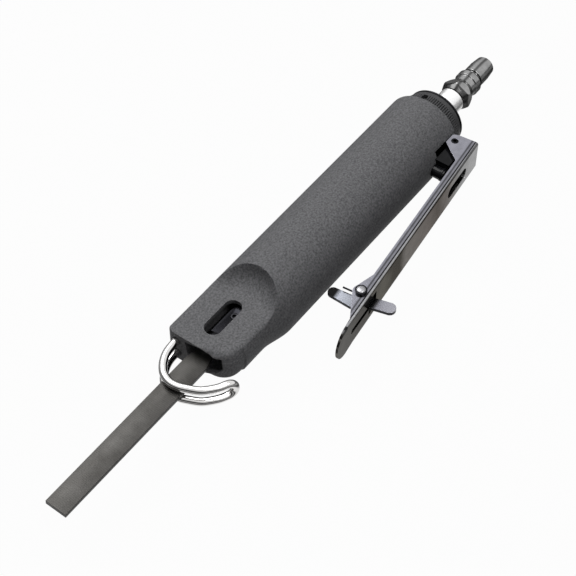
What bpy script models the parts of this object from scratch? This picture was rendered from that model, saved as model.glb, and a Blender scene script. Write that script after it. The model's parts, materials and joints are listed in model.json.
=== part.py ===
"""Pneumatic reciprocating file, modelled in metres.

Tool frame: +X runs forward to the tip of the file, +Y is the lever side, +Z is up
as the tool lies on a bench. X = 0 is the front face of the housing and the barrel's
axis is Y = Z = 0. The root empty then puts the world origin under the middle of the
tool, at the height of what it lies on.
"""
import bpy
import bmesh
import math
from mathutils import Vector
from mathutils.geometry import intersect_point_line

# Housing
BARREL_R = 0.0190
HOUSING_LENGTH = 0.1720
REAR_FILLET = 0.0015
NOSE_HALF_HEIGHT = 0.0083
NOSE_SIDE_INSET = 0.0028
NOSE_SIDE_R = BARREL_R - NOSE_SIDE_INSET
NOSE_SIDE_LENGTH = 0.0240
NOSE_SIDE_TAPER = 0.0170
NOSE_FLAT_HALF_WIDTH = 0.0052
NOSE_CORNER_R = NOSE_SIDE_R - NOSE_FLAT_HALF_WIDTH
NOSE_EDGE_R = 0.0040
NOSE_EDGE_REACH = 0.0070
NOSE_SHARPNESS = 60
NOSE_LEVER_SIDE_SHARPNESS = 15
NOSE_LEFT_CORNER_R = 0.0042
LEVER_SIDE_SHARE = 0.6
COVE_START = 0.0320
COVE_RUNOUT = 0.0003
COVE_R = BARREL_R - NOSE_HALF_HEIGHT + COVE_RUNOUT
COVE_PLAN_R = 0.0200
COVE_MIDDLE = 0.0010
FRONT_RING_SHARES = (0.0, 0.035, 0.09, 0.17, 0.28, 0.43, 0.63, 1.0)
SIDE_RING_SHARES = (-0.35, -0.03, 0.11, 0.24)
COVE_RING_SHARES = (-0.22, -0.08, 0.06, 0.2, 0.32, 0.43, 0.53, 0.62, 0.7, 0.78, 0.85, 0.92, 0.98, 1.05)
REAR_RING_SHARES = (1.0, 0.6, 0.3, 0.09, 0.0)
BARREL_WALL = 0.0050
MAIN_BORE_R = BARREL_R - BARREL_WALL
BULKHEAD_THICKNESS = 0.0060
CHAMBER_LENGTH = 0.0440
CHAMBER_LEFT = 0.0080
CHAMBER_RIGHT = 0.0095
CHAMBER_HALF_HEIGHT = 0.0062
MOUTH_DEPTH = 0.0028
MOUTH_SIDE_WALL = 0.0062
MOUTH_HALF_WIDTH = NOSE_SIDE_R - MOUTH_SIDE_WALL
MOUTH_HALF_HEIGHT = 0.0080
MOUTH_ACROSS_SHARES = (-0.79, 0.05, 0.68, 1.04, 1.11, 0.80, 0.34, -0.52, -0.68)
MOUTH_UP_SHARES = (0.77, 1.0, 0.75, 0.75, -0.02, -0.49, -0.72, -0.72, -0.15)
ROD_HOLE_R = 0.0044
KEY_SLOT_LENGTH = 0.0214
KEY_SLOT_WIDTH = 0.0081
KEY_SLOT_MID = 0.0187
KEY_SLOT_OFFSET = 0.0019

# Lever boss on the housing
BOSS_SETBACK = 0.0018
BOSS_LENGTH = 0.0174
BOSS_REAR = HOUSING_LENGTH - BOSS_SETBACK
BOSS_FRONT = BOSS_REAR - BOSS_LENGTH
BOSS_HALF_WIDTH = 0.0056
BOSS_RISE = 0.0065
BOSS_TOP = BARREL_R + BOSS_RISE
BOSS_EDGE_R = 0.0009
BOSS_NOSE_R = 0.0031
EAR_POCKET_LENGTH = 0.0180
EAR_POCKET_FRONT = HOUSING_LENGTH - EAR_POCKET_LENGTH
EAR_POCKET_DEPTH = 0.0034
EAR_POCKET_FLOOR = BARREL_R - EAR_POCKET_DEPTH
EAR_POCKET_OUT = 0.00845

# Clearances
SEAT_GAP = 0.0003
PIN_GAP = 0.00018
RUN_GAP = 0.00025
OVERRUN = 0.0020

# Throttle valve
STEM_SETBACK = 0.0208
STEM_PLACE = HOUSING_LENGTH - STEM_SETBACK
STEM_R = 0.0014
STEM_CAP_R = 0.0036
STEM_CAP_THICKNESS = 0.0008
STEM_CAP_RISE = 0.0003
STEM_HEAD_R = 0.0034
STEM_HEAD_LENGTH = 0.0024
STEM_HEAD_BASE = 0.0030
THROTTLE_BORE_R = 0.0045
THROTTLE_BORE_DEPTH = 0.0070
BUSHING_INSET = 0.0012
BUSHING_TOP = MAIN_BORE_R - BUSHING_INSET
SEAT_RING_LENGTH = 0.0014
THROTTLE_SPRING_WIRE_R = 0.00035
THROTTLE_SPRING_TURNS = 6

# Air motor inside the barrel
ROD_R = 0.0038
SEAL_WIDTH = 0.0024
SEAL_R = 0.0062
FRONT_BUSHING_LENGTH = 0.0070
BUMPER_LENGTH = 0.0054
LINER_WALL = 0.0038
LINER_BORE_R = MAIN_BORE_R - LINER_WALL
BUMPER_WALL = 0.0027
BUMPER_BORE_R = LINER_BORE_R - BUMPER_WALL
PISTON_TRAVEL = 0.0124
PISTON_RING_WIDTH = 0.0024
PISTON_RING_DEPTH = 0.0012
PISTON_RING_SETBACK = 0.0055
VALVE_BODY_LENGTH = 0.0116
VALVE_WALL = 0.0050
VALVE_CAVITY_R = MAIN_BORE_R - VALVE_WALL
VALVE_CAVITY_DEPTH = 0.0077
VALVE_DISC_THICKNESS = 0.0030
CYLINDER_HEAD_LENGTH = 0.0060
AIR_PORT_R = 0.0030
BLOCK_LENGTH = 0.0290
BLOCK_SETBACK = 0.0033
BULKHEAD_REAR = CHAMBER_LENGTH + BULKHEAD_THICKNESS
LINER_FRONT = BULKHEAD_REAR + FRONT_BUSHING_LENGTH + 2 * SEAT_GAP
BLOCK_FRONT = HOUSING_LENGTH - BLOCK_SETBACK - BLOCK_LENGTH
LINER_REAR = BLOCK_FRONT - CYLINDER_HEAD_LENGTH - VALVE_BODY_LENGTH - 3 * SEAT_GAP
PISTON_FRONT = LINER_FRONT + BUMPER_LENGTH + PISTON_TRAVEL / 2
PISTON_REAR = LINER_REAR - BUMPER_LENGTH - PISTON_TRAVEL / 2

# File holder and file
HOLDER_R = 0.0060
HOLDER_FRONT = 0.0080
HOLDER_REAR_ROOM = 0.0055
HOLDER_LENGTH = CHAMBER_LENGTH - HOLDER_FRONT - HOLDER_REAR_ROOM
HOLDER_FLAT_HEIGHT = 0.0049
HOLDER_FLAT_LENGTH = 0.0210
HOLDER_FLAT_SETBACK = 0.0040
SHANK_R = 0.0025
SHANK_LENGTH = 0.0190
ROD_TAIL_R = 0.0028
ROD_TAIL_LENGTH = 0.0028
CHUCK_SCREW_R = 0.0017
CHUCK_SCREW_PLACE = 0.0240
CHUCK_SCREW_LENGTH = 0.0026
CHUCK_SCREW_SOCKET_R = 0.0009
CHUCK_SCREW_SOCKET_DEPTH = 0.0012
FILE_TIP = 0.0903
FILE_WIDTH = 0.0103
FILE_THICKNESS = 0.0023
FILE_FULL_WIDTH_START = 0.0024
FILE_NECK_WIDTH = 0.0066
FILE_NECK_START = 0.0048
FILE_ROLL = math.radians(4.0)

# Wire guide
GUIDE_WIRE_R = 0.00185
GUIDE_HALF_SPACING = 0.0038
GUIDE_LEG_INSET = 0.0067
GUIDE_LEG_SIDE = BARREL_R - GUIDE_LEG_INSET
GUIDE_LEG_DEPTH = 0.0150
GUIDE_OUT_SHARES = (0.0, 0.36, 0.635, 0.845, 0.955, 1.0, 0.985, 0.93, 0.80, 0.655, 0.475, 0.31)
GUIDE_SIDE_SHARES = (-1.0, -0.955, -0.79, -0.54, -0.28, -0.03, 0.24, 0.50, 0.93, 1.18, 1.40, 1.53)
GUIDE_REACH = 0.0187
GUIDE_SCREW_R = 0.0019
GUIDE_SCREW_LENGTH = 0.0030
GUIDE_SCREW_PLACE = 0.0090

# Throttle lever, in its own frame: u runs along it from the pivot, v away from the barrel
LEVER_PIN_SETBACK = 0.0059
LEVER_PIN_BACK = HOUSING_LENGTH - LEVER_PIN_SETBACK
LEVER_PIN_RISE = 0.0013
LEVER_PIN_SIDE = BARREL_R + LEVER_PIN_RISE
LEVER_TILT = math.radians(6.1)
LEVER_WIDTH = 0.0160
LEVER_SHEET = 0.0014
LEVER_WEB_OUT = 0.01007
LEVER_REAR = 0.00435
LEVER_REACH = 0.1318
LEVER_TIP_LIFT = 0.0009
LEVER_TIP_SHEET = 0.0011
LEVER_FLANGE_DEPTH = 0.0043
LEVER_EAR_R = 0.0042
LEVER_EAR_END = 0.01107
LEVER_BEND_R = 0.0011
LEVER_PIN_R = 0.0016
LEVER_PIN_BORE_R = 0.0009
FRONT_EAR_SETBACK = 0.0140
FRONT_EAR_LENGTH = 0.0266
FRONT_EAR_END = LEVER_REACH - FRONT_EAR_SETBACK
FRONT_EAR_START = FRONT_EAR_END - FRONT_EAR_LENGTH
FRONT_EAR_R = 0.0037
LEVER_TIP_R = 0.0080
KEY_WINDOW_START = 0.0074
KEY_WINDOW_END = 0.0262
KEY_WINDOW_WIDTH = 0.0064

# Safety latch, in the lever's frame
RIVET_SETBACK = 0.0156
RIVET_ALONG = FRONT_EAR_END - RIVET_SETBACK
RIVET_OUT = 0.00557
RIVET_SIDE = LEVER_PIN_SIDE + RIVET_ALONG * math.sin(LEVER_TILT) + RIVET_OUT * math.cos(LEVER_TILT)
RIVET_R = 0.0016
RIVET_HEAD_R = 0.0026
RIVET_HEAD_HEIGHT = 0.0011
RIVET_RIM_HEIGHT = 0.0003
RIVET_DOME_R = 0.0019
RIVET_DOME_HEIGHT = 0.0009
LATCH_HUB_R = 0.0028
LATCH_HUB_LENGTH = 0.0034
LATCH_PLATE = 0.0018
LATCH_FOOT_GAP = 0.0023
LATCH_FOOT_LENGTH = RIVET_SIDE - BARREL_R - LATCH_FOOT_GAP
LATCH_FOOT_WIDTH = 0.0049
LATCH_FOOT_LEAN = 0.0008
LATCH_SHOULDER = 0.0046
LATCH_WAIST_SHARE = 0.9
LATCH_TAB_LENGTH = 0.0153
LATCH_TAB_WIDTH = 0.0058
LATCH_LEAN_SHARE = 0.55
LATCH_TAB_LEAN = 0.0034
LATCH_SLIT_WIDTH = 0.0027
LATCH_SLIT_START = 0.0060
LATCH_SLIT_END = 0.0166
LATCH_WINDOW_END = 0.0006
LATCH_WINDOW_WIDTH = 0.0092
LATCH_SPRING_WIRE_R = 0.00035
LATCH_SPRING_TURNS = 3
LATCH_SPRING_LEG = 0.0098

# Rear end
INLET_THREAD_R = 0.0092
INLET_THREAD_LENGTH = 0.0110
INLET_BORE_R = 0.0045
INLET_SCREEN_THICKNESS = 0.0012
DEFLECTOR_INSET = 0.0031
DEFLECTOR_R = BARREL_R - DEFLECTOR_INSET
DEFLECTOR_LENGTH = 0.0080
DEFLECTOR_WALL = 0.0018
DEFLECTOR_BACK = 0.0016
DEFLECTOR_BORE_GAP = 0.0004
DEFLECTOR_BORE_R = INLET_THREAD_R + DEFLECTOR_BORE_GAP
DEFLECTOR_SHOULDER = 0.0030
DEFLECTOR_SHOULDER_STEP = 0.0005
DEFLECTOR_SHOULDER_R = DEFLECTOR_R - DEFLECTOR_SHOULDER_STEP
DEFLECTOR_REAR_STEP = 0.0009
DEFLECTOR_REAR_R = DEFLECTOR_R - DEFLECTOR_REAR_STEP
KNURL_COUNT = 72
KNURL_DEPTH = 0.0005
EXHAUST_HOLE_LENGTH = 0.0042
EXHAUST_HOLE_WIDTH = 0.0032
EXHAUST_HOLE_ANGLE = math.radians(102.6)
EXHAUST_HOLE_SETBACK = 0.0028
MUFFLER_LENGTH = 0.0060
RETAINER_R = DEFLECTOR_REAR_R
RETAINER_THICKNESS = 0.0018
INLET_HEX_FLATS = 0.0150
INLET_HEX_LENGTH = 0.0048
INLET_NECK_R = 0.0064
INLET_REACH = 0.0250
INLET_END = HOUSING_LENGTH + INLET_REACH
PLUG_HEX_FLATS = 0.0142
PLUG_HEX_FACE_R = 0.0069
PLUG_HEX_RISE = 0.0028
PLUG_HEX_LENGTH = 0.0042
PLUG_CONE_LENGTH = 0.0046
PLUG_NECK_R = 0.0059
PLUG_NECK_LENGTH = 0.0032
PLUG_COLLAR_R = 0.0065
PLUG_COLLAR_LENGTH = 0.0040
PLUG_NOZZLE_R = 0.0054
PLUG_END_R = 0.0044
PLUG_REACH = 0.0306
PLUG_END = INLET_END + PLUG_REACH
PLUG_BORE_R = 0.0034
PLUG_THREAD_R = 0.0050
PLUG_THREAD_LENGTH = 0.0080
PLUG_EDGE = 0.0005

BARREL_STEPS = 68
BORE_STEPS = 40
SMALL_STEPS = 32
INNER_STEPS = 24
TINY_STEPS = 16

OBJECT_NAME = "pneumatic_reciprocating_file"


def clear_scene():
    for obj in list(bpy.data.objects):
        bpy.data.objects.remove(obj, do_unlink=True)
    for mesh in list(bpy.data.meshes):
        bpy.data.meshes.remove(mesh)
    for curve in list(bpy.data.curves):
        bpy.data.curves.remove(curve)


def collection(name, hidden=False):
    group = bpy.data.collections.new(name)
    bpy.context.scene.collection.children.link(group)
    group.hide_render = hidden
    return group


clear_scene()
PARTS = collection(OBJECT_NAME)
CUTTERS = collection("cutters")
FRAMES = {}


def frame(name, place, turn=0.0, parent=None):
    """An empty on a joint's axis, that the pieces of one body hang on."""
    empty = bpy.data.objects.new(name, None)
    PARTS.objects.link(empty)
    empty.empty_display_size = BARREL_R
    if parent:
        empty.parent = FRAMES[parent]
    empty.location = place
    empty.rotation_euler = (0, 0, turn)
    FRAMES[name] = empty
    return empty


def material(name, colour, roughness, metallic):
    mat = bpy.data.materials.new(name)
    mat.use_nodes = True
    shader = mat.node_tree.nodes["Principled BSDF"]
    shader.inputs["Base Color"].default_value = (*colour, 1)
    shader.inputs["Roughness"].default_value = roughness
    shader.inputs["Metallic"].default_value = metallic
    mat.diffuse_color = (*colour, 1)
    return mat


def new_object(name, mesh, parent, place=(0, 0, 0), turn=(0, 0, 0), look=None, cutter=False):
    obj = bpy.data.objects.new(name, mesh)
    (CUTTERS if cutter else PARTS).objects.link(obj)
    obj.parent = FRAMES[parent]
    obj.location = place
    obj.rotation_euler = turn
    if cutter:
        obj.hide_render = True
        obj.display_type = "WIRE"
    else:
        mesh.materials.append(material(name + "_finish", *look))
    return obj


def smooth(obj, angle=math.radians(35)):
    obj.data.shade_smooth()
    obj.data.set_sharp_from_angle(angle=angle)


def arc(cx, cy, radius, start, end, count):
    """Points on an arc, angles in degrees."""
    points = []
    for i in range(count + 1):
        a = math.radians(start + (end - start) * i / count)
        points.append((cx + radius * math.cos(a), cy + radius * math.sin(a)))
    return points


ALONG_X = (0, math.pi / 2, 0)
ALONG_Y = (-math.pi / 2, 0, 0)


def turned(name, outline, parent, place=(0, 0, 0), turn=ALONG_X, steps=INNER_STEPS, look=None,
           cutter=False, closed=True):
    """A turned piece. The outline lists (along, radius), down the outer side first."""
    mesh = bpy.data.meshes.new(name)
    bm = bmesh.new()
    verts = [bm.verts.new((radius, 0, along)) for along, radius in outline]
    for a, b in zip(verts, verts[1:]):
        bm.edges.new((a, b))
    if closed:
        bm.edges.new((verts[-1], verts[0]))
    bm.to_mesh(mesh)
    bm.free()
    obj = new_object(name, mesh, parent, place, turn, look, cutter)
    screw = obj.modifiers.new("turn", "SCREW")
    screw.axis = "Z"
    screw.angle = 2 * math.pi
    screw.steps = steps
    screw.render_steps = steps
    screw.use_merge_vertices = True
    screw.merge_threshold = 0.00001
    return obj


def rod(name, radius, start, end, parent, place=(0, 0, 0), turn=ALONG_X, steps=INNER_STEPS,
        look=None, cutter=False, edge=0.0):
    """A solid cylinder from start to end along its axis, its rims cut by edge."""
    outline = [(end, 0)]
    if edge:
        outline += [(end, radius - edge), (end - edge, radius), (start + edge, radius), (start, radius - edge)]
    else:
        outline += [(end, radius), (start, radius)]
    outline.append((start, 0))
    return turned(name, outline, parent, place, turn, steps, look, cutter, closed=False)


def ring(name, outer, inner, start, end, parent, place=(0, 0, 0), turn=ALONG_X, steps=INNER_STEPS,
         look=None, cutter=False):
    outline = [(end, outer), (start, outer), (start, inner), (end, inner)]
    return turned(name, outline, parent, place, turn, steps, look, cutter)


def plate(name, outline, half, parent, place=(0, 0, 0), turn=(0, 0, 0), look=None, cutter=False):
    """A flat outline given a thickness of twice half, as a closed mesh."""
    curve = bpy.data.curves.new(name + "_outline", "CURVE")
    curve.dimensions = "2D"
    curve.fill_mode = "BOTH"
    curve.extrude = half
    spline = curve.splines.new("POLY")
    spline.points.add(len(outline) - 1)
    for point, (x, y) in zip(spline.points, outline):
        point.co = (x, y, 0, 1)
    spline.use_cyclic_u = True
    flat = bpy.data.objects.new(name + "_outline", curve)
    CUTTERS.objects.link(flat)
    bpy.context.view_layer.update()
    mesh = bpy.data.meshes.new_from_object(flat.evaluated_get(bpy.context.evaluated_depsgraph_get()))
    mesh.name = name
    bpy.data.objects.remove(flat, do_unlink=True)
    bpy.data.curves.remove(curve)
    weld(mesh)
    return new_object(name, mesh, parent, place, turn, look, cutter)


def weld(mesh):
    bm = bmesh.new()
    bm.from_mesh(mesh)
    bmesh.ops.remove_doubles(bm, verts=bm.verts, dist=0.00001)
    bmesh.ops.recalc_face_normals(bm, faces=bm.faces)
    bm.to_mesh(mesh)
    bm.free()


def block(name, low, high, parent, look=None, cutter=False, round_edge=0.0):
    mesh = bpy.data.meshes.new(name)
    bm = bmesh.new()
    size = [b - a for a, b in zip(low, high)]
    bmesh.ops.create_cube(bm, size=1)
    bmesh.ops.scale(bm, vec=size, verts=bm.verts)
    if round_edge:
        bmesh.ops.bevel(bm, geom=list(bm.edges), offset=round_edge, segments=3, profile=0.5, affect="EDGES")
    bm.to_mesh(mesh)
    bm.free()
    middle = [(a + b) / 2 for a, b in zip(low, high)]
    return new_object(name, mesh, parent, middle, (0, 0, 0), look, cutter)


def tube(name, path, radius, parent, place=(0, 0, 0), look=None, resolution=2, cyclic=False):
    """A bent wire: a POLY curve with a round bevel and filled caps."""
    curve = bpy.data.curves.new(name, "CURVE")
    curve.dimensions = "3D"
    curve.bevel_depth = radius
    curve.bevel_resolution = resolution
    curve.use_fill_caps = True
    spline = curve.splines.new("POLY")
    spline.points.add(len(path) - 1)
    for point, co in zip(spline.points, path):
        point.co = (*co, 1)
    spline.use_cyclic_u = cyclic
    obj = bpy.data.objects.new(name, curve)
    PARTS.objects.link(obj)
    obj.parent = FRAMES[parent]
    obj.location = place
    curve.materials.append(material(name + "_finish", *look))
    return obj


def change(obj, cutter, how="DIFFERENCE"):
    step = obj.modifiers.new(cutter.name, "BOOLEAN")
    step.operation = how
    step.object = cutter
    step.solver = "EXACT"


def apply_changes(obj):
    """Turns the modifiers into mesh, so that edges can then be rounded or shaded."""
    bpy.context.view_layer.update()
    done = bpy.data.meshes.new_from_object(obj.evaluated_get(bpy.context.evaluated_depsgraph_get()))
    done.name = obj.data.name
    obj.modifiers.clear()
    obj.data = done


def stadium(x0, x1, width, steps=10):
    """The outline of a slot from x0 to x1 along X, with round ends."""
    half = width / 2
    return arc(x1 - half, 0, half, -90, 90, steps) + arc(x0 + half, 0, half, 90, 270, steps)


def print_least_gap(name, path, radius):
    """Prints the least gap between parts of a wire that lie more than half a turn apart along it."""
    points = [Vector(p) for p in path]
    along = [0.0]
    for a, b in zip(points, points[1:]):
        along.append(along[-1] + (b - a).length)
    least = along[-1]
    for i in range(len(points)):
        for j in range(i + 2, len(points) - 1):
            if along[j] - along[i + 1] > 8 * radius:
                near = min((points[i] - points[j]).length, (points[i + 1] - points[j]).length)
                for k in range(5):
                    spot = points[j].lerp(points[j + 1], k / 4)
                    foot, share = intersect_point_line(spot, points[i], points[i + 1])
                    share = min(1, max(0, share))
                    near = min(near, (points[i].lerp(points[i + 1], share) - spot).length)
                least = min(least, near)
    print(name, "least gap to itself, mm:", round((least - 2 * radius) * 1000, 2))


def soft_least(values, power):
    """The least of some positive values, with the corner between them rounded."""
    return sum(v ** -power for v in values) ** (-1 / power)


def ease(t):
    t = min(1.0, max(0.0, t))
    return t * t * (3 - 2 * t)


BLACK_COAT = ((0.045, 0.045, 0.048), 0.62, 0.0)
CHROME = ((0.78, 0.78, 0.79), 0.12, 1.0)
SMOKE_CHROME = ((0.42, 0.42, 0.43), 0.20, 1.0)
GUNMETAL = ((0.30, 0.30, 0.31), 0.33, 1.0)
STEEL = ((0.52, 0.52, 0.53), 0.34, 1.0)
DARK_STEEL = ((0.16, 0.16, 0.165), 0.45, 1.0)
BLACK_OXIDE = ((0.06, 0.06, 0.065), 0.45, 0.6)
BRASS = ((0.70, 0.52, 0.22), 0.32, 1.0)
RUBBER = ((0.030, 0.030, 0.030), 0.80, 0.0)
FELT = ((0.10, 0.10, 0.10), 0.95, 0.0)
PLASTIC = ((0.035, 0.035, 0.036), 0.48, 0.0)
FILE_STEEL = ((0.20, 0.20, 0.20), 0.42, 1.0)


TAB_TOP_SIDE = RIVET_SIDE + LATCH_TAB_LENGTH * math.cos(LEVER_TILT)
MIDDLE_X = (FILE_TIP - PLUG_END) / 2
MIDDLE_Y = (TAB_TOP_SIDE - BARREL_R) / 2

frame("tool", (-MIDDLE_X, -MIDDLE_Y, BARREL_R))
frame("lever_frame", (-LEVER_PIN_BACK, LEVER_PIN_SIDE, 0), LEVER_TILT, "tool")
frame("latch_frame", (RIVET_ALONG, RIVET_OUT, 0), 0, "lever_frame")
frame("stem_frame", (-STEM_PLACE, 0, 0), 0, "tool")
frame("stroke_frame", (0, 0, 0), 0, "tool")
frame("guide_frame", (0, 0, 0), 0, "tool")
frame("deflector_frame", (-HOUSING_LENGTH - SEAT_GAP, 0, 0), 0, "tool")


def nose_height(back, y):
    """Half the height of the housing above and below its axis, at y across and back from the front face."""
    height = NOSE_HALF_HEIGHT
    start = COVE_START - (y + COVE_MIDDLE) ** 2 / (2 * COVE_PLAN_R)
    rise = back - start
    if rise >= COVE_R:
        return 2 * BARREL_R
    if rise > 0:
        height += COVE_R - math.sqrt(COVE_R ** 2 - rise ** 2)
    edge = NOSE_EDGE_R * ease((y + COVE_MIDDLE) / NOSE_EDGE_REACH)
    inward = back
    middle = NOSE_SIDE_R - NOSE_CORNER_R
    if y > middle and back < NOSE_CORNER_R:
        inward = NOSE_CORNER_R - math.hypot(NOSE_CORNER_R - back, y - middle)
    inward = max(0, inward)
    if inward < edge:
        height -= edge - math.sqrt(edge ** 2 - (edge - inward) ** 2)
    return height


def corner(back, radius, side):
    """How far a rounded corner in plan reaches across."""
    if back >= radius:
        return 2 * BARREL_R
    return side - radius + math.sqrt(radius ** 2 - (radius - back) ** 2)


def section(back, count):
    """The housing's outline at a distance back from its front face, as (y, z)."""
    base = BARREL_R
    from_rear = HOUSING_LENGTH - back
    if from_rear < REAR_FILLET:
        base += math.sqrt(REAR_FILLET ** 2 - (REAR_FILLET - from_rear) ** 2) - REAR_FILLET
    side = NOSE_SIDE_R + (BARREL_R - NOSE_SIDE_R) * ease((back - NOSE_SIDE_LENGTH) / NOSE_SIDE_TAPER)
    points = []
    for i in range(count):
        a = 2 * math.pi * (i + 0.5) / count
        c, s = math.cos(a), math.sin(a)
        lever_side = ease(c / LEVER_SIDE_SHARE)
        r = base + (min(side, base) - base) * lever_side
        low, high = 0, 2 * BARREL_R
        for _ in range(30):
            mid = (low + high) / 2
            if mid * abs(s) > nose_height(back, mid * c):
                high = mid
            else:
                low = mid
        if c > 0:
            across = corner(back, NOSE_CORNER_R, NOSE_SIDE_R) / c
        else:
            across = corner(back, NOSE_LEFT_CORNER_R, BARREL_R) / -c
        limits = [r] + [limit for limit in (high, across) if limit < 2 * BARREL_R]
        if len(limits) > 1:
            r = soft_least(limits, NOSE_SHARPNESS + (NOSE_LEVER_SIDE_SHARPNESS - NOSE_SHARPNESS) * lever_side)
        points.append((r * c, r * s))
    return points


def housing_body():
    """The sleeve, lofted from its flattened nose to its round barrel, then bored and slotted."""
    places = [NOSE_CORNER_R * share for share in FRONT_RING_SHARES]
    places += [NOSE_SIDE_LENGTH + NOSE_SIDE_TAPER * share for share in SIDE_RING_SHARES]
    places += [COVE_START + COVE_R * share for share in COVE_RING_SHARES]
    places += [HOUSING_LENGTH - REAR_FILLET * share for share in REAR_RING_SHARES]
    mesh = bpy.data.meshes.new("housing")
    bm = bmesh.new()
    loops = []
    for back in places:
        loops.append([bm.verts.new((-back, y, z)) for y, z in section(back, BARREL_STEPS)])
    for near, far in zip(loops, loops[1:]):
        for i in range(BARREL_STEPS):
            j = (i + 1) % BARREL_STEPS
            bm.faces.new((near[i], near[j], far[j], far[i]))
    bm.faces.new(list(reversed(loops[0])))
    bm.faces.new(loops[-1])
    bmesh.ops.recalc_face_normals(bm, faces=bm.faces)
    bm.to_mesh(mesh)
    bm.free()
    obj = new_object("housing", mesh, "tool", look=BLACK_COAT)

    boss = block("boss_block", (-BOSS_REAR, BARREL_R / 2, -BOSS_HALF_WIDTH),
                 (-BOSS_FRONT, BOSS_TOP, BOSS_HALF_WIDTH), "tool", cutter=True, round_edge=BOSS_EDGE_R)
    change(obj, boss, "UNION")
    change(obj, rod("boss_nose", BOSS_NOSE_R, BARREL_R / 2, BOSS_TOP, "tool", (-STEM_PLACE, 0, 0), ALONG_Y,
                    INNER_STEPS, cutter=True, edge=BOSS_EDGE_R / 2), "UNION")
    for side, label in ((1, "upper"), (-1, "lower")):
        low, high = sorted((side * BOSS_HALF_WIDTH, side * EAR_POCKET_OUT))
        change(obj, block("ear_pocket_" + label, (-HOUSING_LENGTH - OVERRUN, EAR_POCKET_FLOOR, low),
                          (-EAR_POCKET_FRONT, BARREL_R, high), "tool", cutter=True))

    change(obj, rod("main_bore", MAIN_BORE_R, -HOUSING_LENGTH - OVERRUN, -BULKHEAD_REAR, "tool",
                    steps=BORE_STEPS, cutter=True))
    change(obj, block("chamber", (-CHAMBER_LENGTH, -CHAMBER_LEFT, -CHAMBER_HALF_HEIGHT),
                      (-MOUTH_DEPTH, CHAMBER_RIGHT, CHAMBER_HALF_HEIGHT), "tool", cutter=True))
    mouth = [(MOUTH_HALF_WIDTH * across, MOUTH_HALF_HEIGHT * up)
             for across, up in zip(MOUTH_ACROSS_SHARES, MOUTH_UP_SHARES)]
    change(obj, plate("mouth", mouth, MOUTH_DEPTH, "tool", (-SEAT_GAP, 0, 0),
                      (math.pi / 2, 0, math.pi / 2), cutter=True))
    change(obj, rod("rod_hole", ROD_HOLE_R, -BULKHEAD_REAR - OVERRUN, -CHAMBER_LENGTH + OVERRUN, "tool",
                    steps=INNER_STEPS, cutter=True))
    half_slot = KEY_SLOT_LENGTH / 2
    slot = plate("key_slot", stadium(-half_slot, half_slot, KEY_SLOT_WIDTH), NOSE_HALF_HEIGHT / 2, "tool",
                 (-KEY_SLOT_MID, -KEY_SLOT_OFFSET, NOSE_HALF_HEIGHT), cutter=True)
    change(obj, slot)
    change(obj, rod("stem_bore", STEM_R + RUN_GAP, MAIN_BORE_R / 2, BOSS_TOP + OVERRUN, "tool",
                    (-STEM_PLACE, 0, 0), ALONG_Y, TINY_STEPS, cutter=True))
    change(obj, rod("pin_bore", LEVER_PIN_R + PIN_GAP, -LEVER_WIDTH, LEVER_WIDTH, "tool",
                    (-LEVER_PIN_BACK, LEVER_PIN_SIDE, 0), (0, 0, 0), TINY_STEPS, cutter=True))
    for side, label in ((1, "upper"), (-1, "lower")):
        height = side * GUIDE_HALF_SPACING
        change(obj, rod("leg_hole_" + label, GUIDE_WIRE_R + RUN_GAP, -GUIDE_LEG_DEPTH - OVERRUN, OVERRUN,
                        "tool", (0, -GUIDE_LEG_SIDE, height), steps=TINY_STEPS, cutter=True))
        change(obj, rod("screw_hole_" + label, GUIDE_SCREW_R + PIN_GAP, -BARREL_R - OVERRUN,
                        -GUIDE_LEG_SIDE, "tool", (-GUIDE_SCREW_PLACE, 0, height), ALONG_Y,
                        TINY_STEPS, cutter=True))
    apply_changes(obj)
    smooth(obj, math.radians(28))
    return obj


def guide_screws():
    """Two grub screws that hold the legs of the wire guide from the far side."""
    inner = GUIDE_LEG_SIDE + GUIDE_WIRE_R + RUN_GAP
    for side, label in ((1, "upper"), (-1, "lower")):
        screw = turned("guide_screw_" + label,
                       [(-inner, 0), (-inner, GUIDE_SCREW_R), (-inner - GUIDE_SCREW_LENGTH, GUIDE_SCREW_R),
                        (-inner - GUIDE_SCREW_LENGTH, CHUCK_SCREW_SOCKET_R),
                        (-inner - GUIDE_SCREW_LENGTH + CHUCK_SCREW_SOCKET_DEPTH, CHUCK_SCREW_SOCKET_R),
                        (-inner - GUIDE_SCREW_LENGTH + CHUCK_SCREW_SOCKET_DEPTH, 0)],
                       "tool", (-GUIDE_SCREW_PLACE, 0, side * GUIDE_HALF_SPACING), ALONG_Y, TINY_STEPS,
                       BLACK_OXIDE, closed=False)
        smooth(screw)


def wire_guide():
    """One bent wire: two legs, a wide bow round the file and a hairpin turn at its far end."""
    path = [(-GUIDE_LEG_DEPTH, -GUIDE_LEG_SIDE, GUIDE_HALF_SPACING)]
    for out, side in zip(GUIDE_OUT_SHARES, GUIDE_SIDE_SHARES):
        path.append((GUIDE_REACH * out, GUIDE_LEG_SIDE * side, GUIDE_HALF_SPACING))
    last = Vector(path[-1])
    way = (last - Vector(path[-2])).normalized()
    turn = []
    for i in range(1, 8):
        a = math.pi * i / 8
        co = last + way * (GUIDE_HALF_SPACING * math.sin(a))
        turn.append((co.x, co.y, GUIDE_HALF_SPACING * math.cos(a)))
    lower = [(x, y, -z) for x, y, z in reversed(path)]
    return tube("wire_guide", path + turn + lower, GUIDE_WIRE_R, "guide_frame", look=CHROME)


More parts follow.
